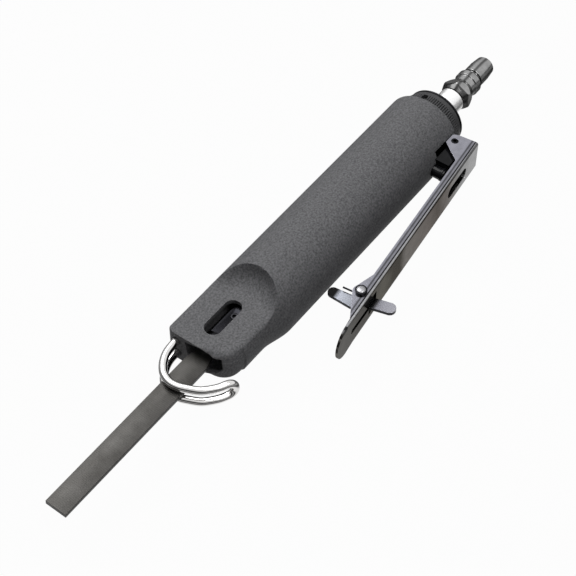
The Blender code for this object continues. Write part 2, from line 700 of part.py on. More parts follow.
def file_blade():
    """The flat file: a blade with a shoulder, and a round shank for the holder."""
    half = FILE_WIDTH / 2
    neck = FILE_NECK_WIDTH / 2
    outline = [(FILE_TIP, half), (FILE_FULL_WIDTH_START, half), (-FILE_NECK_START, neck),
               (-FILE_NECK_START - SHANK_R, neck), (-FILE_NECK_START - SHANK_R, -neck),
               (-FILE_NECK_START, -neck), (FILE_FULL_WIDTH_START, -half), (FILE_TIP, -half)]
    blade = plate("file", outline, FILE_THICKNESS / 2, "stroke_frame", turn=(-FILE_ROLL, 0, 0), look=FILE_STEEL)
    shank = rod("file_shank", SHANK_R, -HOLDER_FRONT - SHANK_LENGTH, -FILE_NECK_START - SHANK_R / 2,
                "stroke_frame", steps=INNER_STEPS, cutter=True)
    change(blade, shank, "UNION")
    return blade


def holder():
    """The sliding holder that grips the shank of the file."""
    front = -HOLDER_FRONT
    rear = front - HOLDER_LENGTH
    shank_end = front - SHANK_LENGTH - SEAT_GAP
    shank_bore = SHANK_R + RUN_GAP / 2
    tail_bore = ROD_TAIL_R + RUN_GAP / 2
    tail_end = rear + ROD_TAIL_LENGTH + SEAT_GAP
    bevel = HOLDER_R / 10
    outline = [(front, HOLDER_R - bevel), (front - bevel, HOLDER_R), (rear + bevel, HOLDER_R),
               (rear, HOLDER_R - bevel), (rear, tail_bore), (tail_end, tail_bore), (tail_end, 0)]
    body = turned("file_holder", outline + [(shank_end, 0), (shank_end, shank_bore), (front, shank_bore)],
                  "stroke_frame", look=STEEL, closed=True)
    flat_front = front - HOLDER_FLAT_SETBACK
    for side, label in ((1, "top"), (-1, "bottom")):
        low = HOLDER_FLAT_HEIGHT if side > 0 else -HOLDER_R - OVERRUN
        high = HOLDER_R + OVERRUN if side > 0 else -HOLDER_FLAT_HEIGHT
        change(body, block("holder_flat_" + label, (flat_front - HOLDER_FLAT_LENGTH, -HOLDER_R - OVERRUN, low),
                           (flat_front, HOLDER_R + OVERRUN, high), "stroke_frame", cutter=True))
    change(body, rod("chuck_screw_hole", CHUCK_SCREW_R + PIN_GAP, SHANK_R / 2, HOLDER_R + OVERRUN,
                     "stroke_frame", (-CHUCK_SCREW_PLACE, 0, 0), (0, 0, 0), TINY_STEPS, cutter=True))
    apply_changes(body)
    smooth(body)

    low = shank_bore
    top = low + CHUCK_SCREW_LENGTH
    screw = turned("chuck_screw", [(top, CHUCK_SCREW_SOCKET_R), (top, CHUCK_SCREW_R), (low, CHUCK_SCREW_R),
                                   (low, 0), (top - CHUCK_SCREW_SOCKET_DEPTH, 0),
                                   (top - CHUCK_SCREW_SOCKET_DEPTH, CHUCK_SCREW_SOCKET_R)],
                   "stroke_frame", (-CHUCK_SCREW_PLACE, 0, 0), (0, 0, 0), TINY_STEPS, BLACK_OXIDE)
    smooth(screw)


def piston_group():
    """Piston with its ring, and the rod that drives the holder."""
    holder_rear = -HOLDER_FRONT - HOLDER_LENGTH
    piston_front = -PISTON_FRONT
    piston_rear = -PISTON_REAR
    piston_r = LINER_BORE_R - RUN_GAP
    tail = ROD_TAIL_LENGTH * 3
    shaft = turned("piston_rod",
                   [(holder_rear + ROD_TAIL_LENGTH, 0), (holder_rear + ROD_TAIL_LENGTH, ROD_TAIL_R),
                    (holder_rear - SEAT_GAP, ROD_TAIL_R), (holder_rear - SEAT_GAP, ROD_R),
                    (piston_front + SEAT_GAP, ROD_R), (piston_front + SEAT_GAP, ROD_TAIL_R),
                    (piston_front - tail, ROD_TAIL_R), (piston_front - tail, 0)],
                   "stroke_frame", look=STEEL, closed=False)
    smooth(shaft)
    groove_front = piston_front - PISTON_RING_SETBACK
    groove_rear = groove_front - PISTON_RING_WIDTH - 2 * RUN_GAP
    groove_r = piston_r - PISTON_RING_DEPTH - RUN_GAP
    bore = ROD_TAIL_R + RUN_GAP / 2
    body = turned("piston",
                  [(piston_front, bore), (piston_front, piston_r), (groove_front, piston_r),
                   (groove_front, groove_r), (groove_rear, groove_r), (groove_rear, piston_r),
                   (piston_rear, piston_r), (piston_rear, 0), (piston_front - tail - SEAT_GAP, 0),
                   (piston_front - tail - SEAT_GAP, bore)],
                  "stroke_frame", look=STEEL)
    smooth(body)
    seal = ring("piston_ring", piston_r, groove_r + RUN_GAP, groove_rear + RUN_GAP, groove_front - RUN_GAP,
                "stroke_frame", look=PLASTIC)
    smooth(seal)


def cylinder_stack():
    """What fills the main bore, from the front: bushing, seal, liner, valve and head."""
    outer = MAIN_BORE_R - SEAT_GAP
    at = -BULKHEAD_REAR - SEAT_GAP
    rear = at - FRONT_BUSHING_LENGTH
    seal_bore = SEAL_R + RUN_GAP
    seal_depth = SEAL_WIDTH + 2 * RUN_GAP
    rod_bore = ROD_R + RUN_GAP
    smooth(turned("front_bushing",
                  [(at, seal_bore), (at, outer), (rear, outer), (rear, rod_bore), (at - seal_depth, rod_bore),
                   (at - seal_depth, seal_bore)], "tool", look=BRASS))
    smooth(ring("rod_seal", SEAL_R, rod_bore, at - RUN_GAP - SEAL_WIDTH, at - RUN_GAP, "tool", look=RUBBER))
    liner_front = -LINER_FRONT
    liner_rear = -LINER_REAR
    smooth(ring("cylinder_liner", outer, LINER_BORE_R, liner_rear, liner_front, "tool", look=STEEL))
    bumper_r = LINER_BORE_R - RUN_GAP
    smooth(ring("front_bumper", bumper_r, BUMPER_BORE_R, liner_front - BUMPER_LENGTH, liner_front - RUN_GAP,
                "tool", look=RUBBER))
    smooth(ring("rear_bumper", bumper_r, BUMPER_BORE_R, liner_rear + RUN_GAP, liner_rear + BUMPER_LENGTH,
                "tool", look=RUBBER))
    valve_front = liner_rear - SEAT_GAP
    valve_rear = valve_front - VALVE_BODY_LENGTH
    cavity = valve_front - VALVE_CAVITY_DEPTH
    smooth(turned("valve_body",
                  [(valve_front, VALVE_CAVITY_R), (valve_front, outer), (valve_rear, outer),
                   (valve_rear, AIR_PORT_R), (cavity, AIR_PORT_R), (cavity, VALVE_CAVITY_R)],
                  "tool", look=BRASS))
    disc_rear = cavity + SEAT_GAP
    smooth(ring("valve_disc", VALVE_CAVITY_R - SEAT_GAP, AIR_PORT_R, disc_rear,
                disc_rear + VALVE_DISC_THICKNESS, "tool", look=PLASTIC))
    head_front = valve_rear - SEAT_GAP
    head_rear = head_front - CYLINDER_HEAD_LENGTH
    smooth(ring("cylinder_head", outer, AIR_PORT_R, head_rear, head_front, "tool", look=STEEL))


def rear_block():
    """The rear block in the barrel: the thread for the inlet and the bore of the throttle."""
    outer = MAIN_BORE_R - SEAT_GAP
    front = -BLOCK_FRONT
    rear = front - BLOCK_LENGTH
    thread = INLET_THREAD_R + SEAT_GAP
    floor = -HOUSING_LENGTH + INLET_THREAD_LENGTH
    body = turned("rear_block",
                  [(front, AIR_PORT_R), (front, outer), (rear, outer), (rear, thread), (floor, thread),
                   (floor, AIR_PORT_R)], "tool", steps=SMALL_STEPS, look=STEEL)
    change(body, rod("block_throttle_bore", THROTTLE_BORE_R, -THROTTLE_BORE_DEPTH, MAIN_BORE_R + OVERRUN,
                     "tool", (-STEM_PLACE, 0, 0), ALONG_Y, INNER_STEPS, cutter=True))
    apply_changes(body)
    smooth(body)


def throttle_group():
    """Bushing, seat ring, stem and spring of the throttle valve."""
    fit = THROTTLE_BORE_R - RUN_GAP
    top = BUSHING_TOP
    seat = STEM_HEAD_BASE + STEM_HEAD_LENGTH + SEAT_GAP
    low = seat + SEAT_RING_LENGTH + SEAT_GAP
    stem_fit = STEM_R + RUN_GAP
    smooth(ring("throttle_bushing", fit, stem_fit, low, top, "tool", (-STEM_PLACE, 0, 0), ALONG_Y,
                INNER_STEPS, BRASS))
    head_low = STEM_HEAD_BASE
    head_top = head_low + STEM_HEAD_LENGTH
    smooth(ring("throttle_seat", fit, stem_fit, seat, seat + SEAT_RING_LENGTH, "tool", (-STEM_PLACE, 0, 0),
                ALONG_Y, INNER_STEPS, RUBBER))
    lever_here = LEVER_PIN_BACK - STEM_PLACE
    web_in = (LEVER_PIN_SIDE + lever_here * math.tan(LEVER_TILT)
              + (LEVER_WEB_OUT - LEVER_SHEET) / math.cos(LEVER_TILT))
    tip = web_in - RUN_GAP - STEM_CAP_R * math.tan(LEVER_TILT) / 2
    shoulder = tip - STEM_CAP_RISE
    smooth(turned("throttle_stem",
                  [(tip, 0), (shoulder, STEM_CAP_R), (shoulder - STEM_CAP_THICKNESS, STEM_CAP_R),
                   (shoulder - STEM_CAP_THICKNESS, STEM_R), (head_top, STEM_R),
                   (head_top, STEM_HEAD_R), (head_low, STEM_HEAD_R), (head_low, 0)],
                  "stem_frame", turn=ALONG_Y, steps=INNER_STEPS, look=CHROME, closed=False))
    spring_r = STEM_HEAD_R - THROTTLE_SPRING_WIRE_R
    base = -THROTTLE_BORE_DEPTH + THROTTLE_SPRING_WIRE_R + RUN_GAP
    rise = head_low - THROTTLE_SPRING_WIRE_R - RUN_GAP - base
    path = []
    steps = 10
    for i in range(THROTTLE_SPRING_TURNS * steps + 1):
        a = 2 * math.pi * i / steps
        path.append((spring_r * math.cos(a), base + rise * i / (THROTTLE_SPRING_TURNS * steps),
                     spring_r * math.sin(a)))
    tube("throttle_spring", path, THROTTLE_SPRING_WIRE_R, "stem_frame", look=STEEL, resolution=1)
    print_least_gap("throttle_spring", path, THROTTLE_SPRING_WIRE_R)


def lever():
    """The stamped throttle lever: a channel with two pairs of ears and a rounded tip."""
    flange = LEVER_WEB_OUT - LEVER_FLANGE_DEPTH
    half = LEVER_WIDTH / 2
    ear = arc(0, 0, LEVER_EAR_R, 180, 318, 10)
    front_ear = arc(RIVET_ALONG, RIVET_OUT, FRONT_EAR_R, 238, 300, 6)
    web_in = LEVER_WEB_OUT - LEVER_SHEET
    outline = [(-LEVER_REAR, LEVER_WEB_OUT), (-LEVER_REAR, 0)] + ear[1:] + [(LEVER_EAR_END, flange)]
    outline += [(FRONT_EAR_START, flange)] + front_ear + [(FRONT_EAR_END, web_in)]
    tip_in = web_in + LEVER_TIP_LIFT
    outline += [(LEVER_REACH, tip_in), (LEVER_REACH, tip_in + LEVER_TIP_SHEET), (FRONT_EAR_END, LEVER_WEB_OUT)]
    body = plate("throttle_lever", outline, half, "lever_frame", look=SMOKE_CHROME)
    round_web(body.data)
    inside_half = half - LEVER_SHEET
    change(body, block("lever_inside", (-LEVER_REAR - OVERRUN, -LEVER_EAR_R - OVERRUN, -inside_half),
                       (FRONT_EAR_END + OVERRUN, web_in, inside_half), "lever_frame", cutter=True))
    tip_centre = LEVER_REACH - LEVER_TIP_R
    lower = [(tip_centre, -half - OVERRUN), (LEVER_REACH + LEVER_TIP_R, -half - OVERRUN),
             (LEVER_REACH + LEVER_TIP_R, 0)] + arc(tip_centre, 0, LEVER_TIP_R, 0, -90, 8)
    upper = [(u, -z) for u, z in lower]
    for label, points in (("lower", lower), ("upper", upper)):
        change(body, plate("tip_" + label, points, LEVER_SHEET * 2, "lever_frame", (0, LEVER_WEB_OUT, 0),
                           (math.pi / 2, 0, 0), cutter=True))
    flat = (math.pi / 2, 0, 0)
    change(body, plate("key_window", stadium(KEY_WINDOW_START, KEY_WINDOW_END, KEY_WINDOW_WIDTH),
                       LEVER_SHEET * 2, "lever_frame", (0, LEVER_WEB_OUT, 0), flat, cutter=True))
    slit_start = RIVET_ALONG - LATCH_SLIT_START
    slit_end = RIVET_ALONG + LATCH_SLIT_END
    change(body, plate("latch_slit", stadium(slit_start, slit_end, LATCH_SLIT_WIDTH, 6),
                       LEVER_SHEET * 2, "lever_frame", (0, LEVER_WEB_OUT, 0), flat, cutter=True))
    half_window = LATCH_WINDOW_WIDTH / 2
    change(body, block("latch_window", (slit_start, web_in - LEVER_SHEET, -half_window),
                       (RIVET_ALONG + LATCH_WINDOW_END, LEVER_WEB_OUT + OVERRUN, half_window),
                       "lever_frame", cutter=True))
    change(body, rod("lever_pin_hole", LEVER_PIN_R + PIN_GAP, -LEVER_WIDTH, LEVER_WIDTH, "lever_frame",
                     (0, 0, 0), (0, 0, 0), TINY_STEPS, cutter=True))
    change(body, rod("rivet_hole", RIVET_R + PIN_GAP, -LEVER_WIDTH, LEVER_WIDTH, "lever_frame",
                     (RIVET_ALONG, RIVET_OUT, 0), (0, 0, 0), TINY_STEPS, cutter=True))
    apply_changes(body)
    smooth(body)


def round_web(mesh):
    """Rounds the two long bends between the web and the flanges."""
    bm = bmesh.new()
    bm.from_mesh(mesh)
    edges = []
    for edge in bm.edges:
        a, b = edge.verts
        on_web = all(abs(v.co.y - LEVER_WEB_OUT) < LEVER_SHEET / 100 for v in (a, b))
        long_way = abs(a.co.x - b.co.x) > LEVER_WIDTH
        if on_web and long_way:
            edges.append(edge)
    bmesh.ops.bevel(bm, geom=edges, offset=LEVER_BEND_R, segments=4, profile=0.5, affect="EDGES")
    bm.to_mesh(mesh)
    bm.free()


def lever_pin():
    half = LEVER_WIDTH / 2 + PIN_GAP
    smooth(turned("lever_pin",
                  [(half, LEVER_PIN_BORE_R), (half, LEVER_PIN_R), (-half, LEVER_PIN_R),
                   (-half, LEVER_PIN_BORE_R)],
                  "tool", (-LEVER_PIN_BACK, LEVER_PIN_SIDE, 0), (0, 0, 0), TINY_STEPS, DARK_STEEL))


def latch_group():
    """The safety latch on its rivet, with the spring that holds its foot against the barrel."""
    half_foot = LATCH_FOOT_WIDTH / 2
    half_tab = LATCH_TAB_WIDTH / 2
    foot_end = -LATCH_FOOT_LENGTH
    tab_end = LATCH_TAB_LENGTH
    outline = arc(LATCH_FOOT_LEAN, foot_end + half_foot, half_foot, 180, 360, 10)
    outline += [(LATCH_SHOULDER, -LATCH_HUB_R * LATCH_WAIST_SHARE), (LATCH_HUB_R, LATCH_HUB_R / 2)]
    outline += [(half_tab - LATCH_TAB_LEAN * LATCH_LEAN_SHARE, LATCH_HUB_R)]
    outline += [(u - LATCH_TAB_LEAN, v) for u, v in arc(0, tab_end - half_tab, half_tab, 0, 180, 10)]
    outline += [(-half_tab - LATCH_TAB_LEAN * LATCH_LEAN_SHARE, LATCH_HUB_R)]
    outline += [(LATCH_FOOT_LEAN - half_foot, 0)]
    body = plate("safety_latch", outline, LATCH_PLATE / 2, "latch_frame", look=SMOKE_CHROME)
    hub = rod("latch_hub", LATCH_HUB_R, -LATCH_HUB_LENGTH / 2, LATCH_HUB_LENGTH / 2, "latch_frame",
              turn=(0, 0, 0), steps=INNER_STEPS, cutter=True)
    change(body, hub, "UNION")
    change(body, rod("latch_bore", RIVET_R + PIN_GAP, -LEVER_WIDTH, LEVER_WIDTH, "latch_frame",
                     turn=(0, 0, 0), steps=TINY_STEPS, cutter=True))
    apply_changes(body)
    smooth(body)

    half = LEVER_WIDTH / 2 + PIN_GAP
    upper = [(half + RIVET_HEAD_HEIGHT, 0), (half + RIVET_DOME_HEIGHT, RIVET_DOME_R),
             (half + RIVET_RIM_HEIGHT, RIVET_HEAD_R), (half, RIVET_HEAD_R), (half, RIVET_R)]
    lower = [(-along, radius) for along, radius in reversed(upper)]
    smooth(turned("latch_rivet", upper + lower, "lever_frame", (RIVET_ALONG, RIVET_OUT, 0), (0, 0, 0),
                  INNER_STEPS, STEEL, closed=False))

    coil = RIVET_R + PIN_GAP + LATCH_SPRING_WIRE_R + RUN_GAP
    start = LATCH_HUB_LENGTH / 2 + LATCH_SPRING_WIRE_R + RUN_GAP
    inside = LEVER_WIDTH / 2 - LEVER_SHEET
    pitch = (inside - start - LATCH_SPRING_WIRE_R - RUN_GAP) / LATCH_SPRING_TURNS
    path = [(-coil, -LATCH_SPRING_LEG, start)]
    steps = 10
    for i in range(LATCH_SPRING_TURNS * steps + 1):
        a = math.pi + 2 * math.pi * i / steps
        path.append((coil * math.cos(a), coil * math.sin(a), start + pitch * i / steps))
    path.append((-coil, LATCH_HUB_R - LATCH_SPRING_WIRE_R, start + pitch * LATCH_SPRING_TURNS))
    tube("latch_spring", path, LATCH_SPRING_WIRE_R, "latch_frame", look=STEEL, resolution=1)
    print_least_gap("latch_spring", path, LATCH_SPRING_WIRE_R)


def toothed(radius, depth, count):
    points = []
    for i in range(count):
        a = 2 * math.pi * i / count
        b = 2 * math.pi * (i + 0.5) / count
        points.append((radius * math.cos(a), radius * math.sin(a)))
        points.append(((radius - depth) * math.cos(b), (radius - depth) * math.sin(b)))
    return points


def deflector():
    """The knurled ring that turns to aim the exhaust, with its hole and its felt."""
    front = 0.0
    rear = -DEFLECTOR_LENGTH
    inner = DEFLECTOR_R - DEFLECTOR_WALL
    knurl_cut = DEFLECTOR_R + 2 * KNURL_DEPTH
    body = plate("exhaust_deflector", toothed(DEFLECTOR_R, KNURL_DEPTH, KNURL_COUNT), DEFLECTOR_LENGTH / 2,
                 "deflector_frame", (-DEFLECTOR_LENGTH / 2, 0, 0), ALONG_X, PLASTIC)
    shape = turned("deflector_shape",
                   [(front, knurl_cut), (rear + DEFLECTOR_SHOULDER, knurl_cut),
                    (rear + DEFLECTOR_SHOULDER, DEFLECTOR_SHOULDER_R), (rear, DEFLECTOR_REAR_R),
                    (rear, DEFLECTOR_BORE_R), (rear + DEFLECTOR_BACK, DEFLECTOR_BORE_R),
                    (rear + DEFLECTOR_BACK, inner), (front, inner)],
                   "deflector_frame", steps=BORE_STEPS, cutter=True)
    change(body, shape, "INTERSECT")
    hole = plate("exhaust_hole", stadium(-EXHAUST_HOLE_LENGTH / 2, EXHAUST_HOLE_LENGTH / 2, EXHAUST_HOLE_WIDTH, 8),
                 DEFLECTOR_WALL, "deflector_frame",
                 (-EXHAUST_HOLE_SETBACK, (DEFLECTOR_R - DEFLECTOR_WALL / 2) * math.cos(EXHAUST_HOLE_ANGLE),
                  (DEFLECTOR_R - DEFLECTOR_WALL / 2) * math.sin(EXHAUST_HOLE_ANGLE)),
                 (EXHAUST_HOLE_ANGLE - math.pi / 2, 0, 0), cutter=True)
    change(body, hole)
    apply_changes(body)
    smooth(body, math.radians(20))

    start = -HOUSING_LENGTH - 2 * SEAT_GAP
    smooth(ring("exhaust_muffler", inner - SEAT_GAP * 2, DEFLECTOR_BORE_R, start - MUFFLER_LENGTH, start, "tool",
                look=FELT))
    back = -HOUSING_LENGTH - 2 * SEAT_GAP - DEFLECTOR_LENGTH
    rim = RETAINER_THICKNESS / 3
    smooth(turned("deflector_retainer",
                  [(back, INLET_THREAD_R + RUN_GAP), (back, RETAINER_R - rim), (back - rim, RETAINER_R),
                   (back - RETAINER_THICKNESS + rim, RETAINER_R), (back - RETAINER_THICKNESS, RETAINER_R - rim),
                   (back - RETAINER_THICKNESS, INLET_THREAD_R + RUN_GAP)],
                  "tool", steps=BORE_STEPS, look=BLACK_OXIDE))
    return back - RETAINER_THICKNESS - SEAT_GAP


def hex_outline(flats):
    corner = flats / math.sqrt(3)
    return [(corner * math.cos(math.pi * i / 3), corner * math.sin(math.pi * i / 3)) for i in range(6)]


def inlet(hex_front):
    """The chromed inlet bushing and the quick-connect plug screwed into it."""
    hex_rear = hex_front - INLET_HEX_LENGTH
    screen = -HOUSING_LENGTH + INLET_THREAD_LENGTH - SEAT_GAP
    floor = screen - INLET_SCREEN_THICKNESS - SEAT_GAP
    socket = PLUG_THREAD_R + SEAT_GAP
    rear = -INLET_END
    socket_floor = rear + PLUG_THREAD_LENGTH + SEAT_GAP
    body = turned("inlet_bushing",
                  [(floor, INLET_BORE_R), (floor, INLET_THREAD_R), (hex_front, INLET_THREAD_R),
                   (hex_front, INLET_NECK_R), (rear + PLUG_EDGE, INLET_NECK_R), (rear, INLET_NECK_R - PLUG_EDGE),
                   (rear, socket), (socket_floor, socket), (socket_floor, INLET_BORE_R)],
                  "tool", steps=SMALL_STEPS, look=CHROME)
    nut_front = hex_front + PLUG_EDGE
    nut = plate("inlet_nut", hex_outline(INLET_HEX_FLATS), (nut_front - hex_rear) / 2, "tool",
                ((nut_front + hex_rear) / 2, 0, 0), ALONG_X, cutter=True)
    change(nut, rod("inlet_nut_bore", INLET_NECK_R - PLUG_EDGE, hex_rear - OVERRUN, hex_front + OVERRUN,
                    "tool", cutter=True))
    change(body, nut, "UNION")
    apply_changes(body)
    smooth(body)
    smooth(ring("inlet_screen", INLET_THREAD_R, AIR_PORT_R, screen - INLET_SCREEN_THICKNESS, screen, "tool",
                look=BRASS))

    start = rear - SEAT_GAP
    hex_end = start - PLUG_HEX_LENGTH
    cone_end = hex_end - PLUG_CONE_LENGTH
    neck_end = cone_end - PLUG_NECK_LENGTH
    collar_end = neck_end - PLUG_COLLAR_LENGTH
    tip = -PLUG_END
    edge = PLUG_EDGE
    corner = PLUG_HEX_FLATS / math.sqrt(3)
    shape = turned("air_plug",
                   [(start + PLUG_THREAD_LENGTH, PLUG_BORE_R), (start + PLUG_THREAD_LENGTH, PLUG_THREAD_R),
                    (start, PLUG_THREAD_R), (start, PLUG_HEX_FACE_R), (start - PLUG_HEX_RISE, corner),
                    (hex_end, corner), (cone_end, PLUG_NECK_R), (neck_end, PLUG_NECK_R),
                    (neck_end - edge, PLUG_COLLAR_R), (collar_end + edge, PLUG_COLLAR_R),
                    (collar_end, PLUG_NOZZLE_R), (tip + edge, PLUG_END_R + edge), (tip, PLUG_END_R),
                    (tip, PLUG_BORE_R)],
                   "tool", steps=SMALL_STEPS, look=GUNMETAL)
    outside = ring("plug_flats", corner + OVERRUN, PLUG_BORE_R, cone_end, start + PLUG_THREAD_LENGTH / 2,
                   "tool", steps=INNER_STEPS, cutter=True)
    keep = plate("plug_hex", hex_outline(PLUG_HEX_FLATS), (start + PLUG_THREAD_LENGTH - cone_end), "tool",
                 ((start + cone_end) / 2, 0, 0), ALONG_X, cutter=True)
    change(outside, keep)
    change(shape, outside)
    apply_changes(shape)
    smooth(shape)


housing_body()
guide_screws()
wire_guide()
file_blade()
holder()
piston_group()
cylinder_stack()
rear_block()
throttle_group()
lever()
lever_pin()
latch_group()
inlet(deflector())
bpy.context.view_layer.update()
for piece in PARTS.objects:
    if piece.type == "EMPTY":
        print(piece.name, [round(c, 6) for c in piece.matrix_world.translation])
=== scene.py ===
"""The looks of a pneumatic reciprocating file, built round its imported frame.

Pieces are drawn in the tool's own millimetres: +X forward, +Y to the lever's side, +Z up,
with X = 0 on the front face of the housing and the barrel's axis at Y = Z = 0.
"""
import bpy
import bmesh
import json
import math
from mathutils import Matrix, Vector


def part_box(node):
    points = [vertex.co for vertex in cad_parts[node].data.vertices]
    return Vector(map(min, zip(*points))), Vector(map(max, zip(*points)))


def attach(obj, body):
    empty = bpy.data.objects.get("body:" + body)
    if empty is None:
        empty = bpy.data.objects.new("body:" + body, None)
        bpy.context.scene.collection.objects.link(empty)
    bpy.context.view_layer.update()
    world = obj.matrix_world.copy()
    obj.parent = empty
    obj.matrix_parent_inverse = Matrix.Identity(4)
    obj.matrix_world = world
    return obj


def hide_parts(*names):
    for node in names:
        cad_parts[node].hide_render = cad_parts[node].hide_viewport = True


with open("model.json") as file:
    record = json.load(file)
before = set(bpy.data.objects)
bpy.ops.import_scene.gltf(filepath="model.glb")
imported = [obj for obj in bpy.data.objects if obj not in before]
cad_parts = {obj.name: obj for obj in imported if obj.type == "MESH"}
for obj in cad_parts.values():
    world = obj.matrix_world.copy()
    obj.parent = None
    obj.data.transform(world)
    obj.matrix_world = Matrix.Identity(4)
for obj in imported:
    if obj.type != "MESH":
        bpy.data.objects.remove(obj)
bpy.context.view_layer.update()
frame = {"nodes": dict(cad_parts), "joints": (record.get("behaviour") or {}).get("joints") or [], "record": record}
JOINTS = {joint["name"]: joint for joint in frame["joints"]}
AXIS = Vector(JOINTS["deflector_turn"]["pos_m"])
TOOL = Vector((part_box("housing")[1].x, AXIS.y, AXIS.z))
LEVER_PIN = Vector(JOINTS["lever_pivot"]["pos_m"])
RIVET = Vector(JOINTS["latch_pivot"]["pos_m"])
MM = 0.001

# Camera, solved from the photograph
CAMERA_PLACE = (294.04, 261.33, 513.50)
CAMERA_RIGHT = (-0.59131, 0.80644, -0.00005)
CAMERA_UP = (-0.61776, -0.45292, 0.64284)
CAMERA_LENS = 96.314
SENSOR = 36.0
CLIP_START = 0.01

# Studio: lamps as name, place and size in metres, and power, then the floor in millimetres and the sky
LAMPS = [("key", (-0.15, -0.60, 1.05), 0.8, 11.9), ("top", (0.0, 0.40, 1.10), 0.5, 5.5)]
FLOOR_BOX = ((-3000, -3000, -8.0), (3000, 3000, -0.05))
FLOOR_COLOUR = (0.24, 0.24, 0.24)
FLOOR_GLOW_SHARE = 0.97
FLOOR_FAR_TONES = [(0.22, 1.0), (0.44, 0.07), (0.62, 0.07), (0.78, 0.34), (1.0, 0.45)]
SKY_COLOUR = (0.8, 0.8, 0.8, 1)
SKY_STRENGTH = 0.16
SKIRTING_FRONT = 0.60
SKIRTING_HEIGHT = 0.14
SKIRTING_TONES = [(0.0, 0.5), (0.02, 0.05), (0.40, 0.07), (0.62, 0.80), (1.0, 1.0)]

# Housing
BARREL_R = 19.0
HOUSING_LENGTH = 172.0
REAR_FILLET = 1.5
NOSE_HALF_HEIGHT = 8.3
NOSE_SIDE_R = 16.2
NOSE_SIDE_LENGTH = 24.0
NOSE_SIDE_TAPER = 17.0
NOSE_CORNER_R = 11.0
NOSE_EDGE_R = 4.0
NOSE_EDGE_REACH = 7.0
NOSE_LEFT_CORNER_R = 5.6
NOSE_SHARPNESS = 60
NOSE_LEVER_SIDE_SHARPNESS = 15
LEVER_SIDE_SHARE = 0.6

# How finely the housing's skin is drawn, and the distances between its rings
HALVINGS = 24
HOUSING_SIDES = 288
FINE_STEP = 0.12
FINE_STEP_GROWTH = 0.6
NOSE_STEP = 1.4
COVE_STEP = 0.45
BARREL_STEP = 4.0
STEP_MARGIN = 2.0
FILLET_STEPS = 8

# The housing's cove, chamber, mouth, slot, boss and bores
COVE_START = 32.0
COVE_R = 11.0
COVE_PLAN_R = 20.0
COVE_MIDDLE = 1.0
MAIN_BORE_R = 14.0
BULKHEAD = 6.0
CHAMBER_LENGTH = 44.0
CHAMBER_LEFT = 8.0
CHAMBER_RIGHT = 9.5
CHAMBER_HALF_HEIGHT = 6.2
MOUTH_DEPTH = 2.8
MOUTH_HALF_WIDTH = 10.0
MOUTH_HALF_HEIGHT = 8.0
MOUTH_CORNER_R = 0.7
MOUTH_ACROSS_SHARES = (-0.79, 0.05, 0.68, 1.04, 1.11, 0.80, 0.34, -0.52, -0.68)
MOUTH_UP_SHARES = (0.77, 1.0, 0.75, 0.75, -0.02, -0.49, -0.72, -0.72, -0.15)
ROD_HOLE_R = 4.4
KEY_SLOT_LENGTH = 21.4
KEY_SLOT_WIDTH = 8.1
KEY_SLOT_MID = 18.7
KEY_SLOT_OFFSET = 1.9
BOSS_FRONT = 152.8
BOSS_REAR = 170.2
BOSS_HALF_WIDTH = 5.6
BOSS_TOP = 25.5
BOSS_NOSE_R = 3.1
BOSS_NOSE_DROP = 0.4
BOSS_ROOT = 15.0
BOSS_EDGE = 0.3
RIM_DROPS = (2.2, 1.2)
RIM_RISE = 0.25
RIM_EDGE = 0.15
EAR_POCKET_FRONT = 154.0
EAR_POCKET_FLOOR = 15.6
EAR_POCKET_OUT = 8.45
STEM_PLACE = 151.2
STEM_BORE_R = 1.65
LEVER_PIN_BACK = 166.1
LEVER_PIN_SIDE = 20.3
PIN_BORE_R = 1.78
HOUSING_EDGE = 0.28

# Drawing: sides of round things, rounded corners, gaps and what a cutter reaches beyond a surface
ROUND_SIDES = 96
ROD_SIDES = 48
CORNER_STEPS = 4
FLATTEST_CORNER = math.radians(165)
SIDE_SHARE = 0.45
MERGE_GAP = 0.0005
SKIN_GAP = 0.02
OVERRUN = 2.0
OVERLAP = 1.0

# Wire guide
WIRE_R = 1.85
WIRE_HALF_SPACING = 3.8
WIRE_LEG_SIDE = 12.3
WIRE_LEG_DEPTH = 15.0
WIRE_REACH = 18.7
WIRE_OUT_SHARES = (0.0, 0.36, 0.635, 0.845, 0.955, 1.0, 0.985, 0.93, 0.80, 0.655, 0.475, 0.31)
WIRE_SIDE_SHARES = (-1.0, -0.955, -0.79, -0.54, -0.28, -0.03, 0.24, 0.50, 0.93, 1.18, 1.40, 1.53)
WIRE_HOLE_GAP = 0.25
GUIDE_SCREW_R = 1.9
GUIDE_SCREW_PLACE = 9.0
GUIDE_SCREW_GAP = 0.18
WIRE_SIDES = 12
WIRE_SAMPLES = 12
HAIRPIN_STEPS = 8

# Lever, along and out from its pin
LEVER_TILT = math.radians(6.1)
LEVER_HALF_WIDTH = 8.0
LEVER_SHEET = 1.4
LEVER_WEB_OUT = 10.07
LEVER_REAR = 4.35
LEVER_REACH = 131.8
LEVER_TIP_LIFT = 0.9
LEVER_TIP_SHEET = 1.1
LEVER_TIP_R = 8.0
LEVER_TIP_RIM = 1.5
LEVER_FLANGE = 4.3
LEVER_EAR_R = 4.2
LEVER_EAR_END = 11.07
LEVER_EAR_ANGLE = 318
LEVER_BEND_R = 1.25
LEVER_BEND_STEPS = 8
LEVER_BEND_SLACK = 0.01
EAR_STEPS = 20
FRONT_EAR_STEPS = 10
LEVER_EDGE = 0.12
FRONT_EAR_START = 91.2
FRONT_EAR_R = 3.7
FRONT_EAR_ANGLES = (238, 300)
FRONT_EAR_END = 117.8
FRONT_EAR_SHADE = 4.5
GROOVE_DROP = 1.45
GROOVE_HALF_WIDTH = 0.23
GROOVE_DEPTH = 0.3
GROOVE_OUT = 0.2
GROOVE_ENDS = (0.8, 1.5)
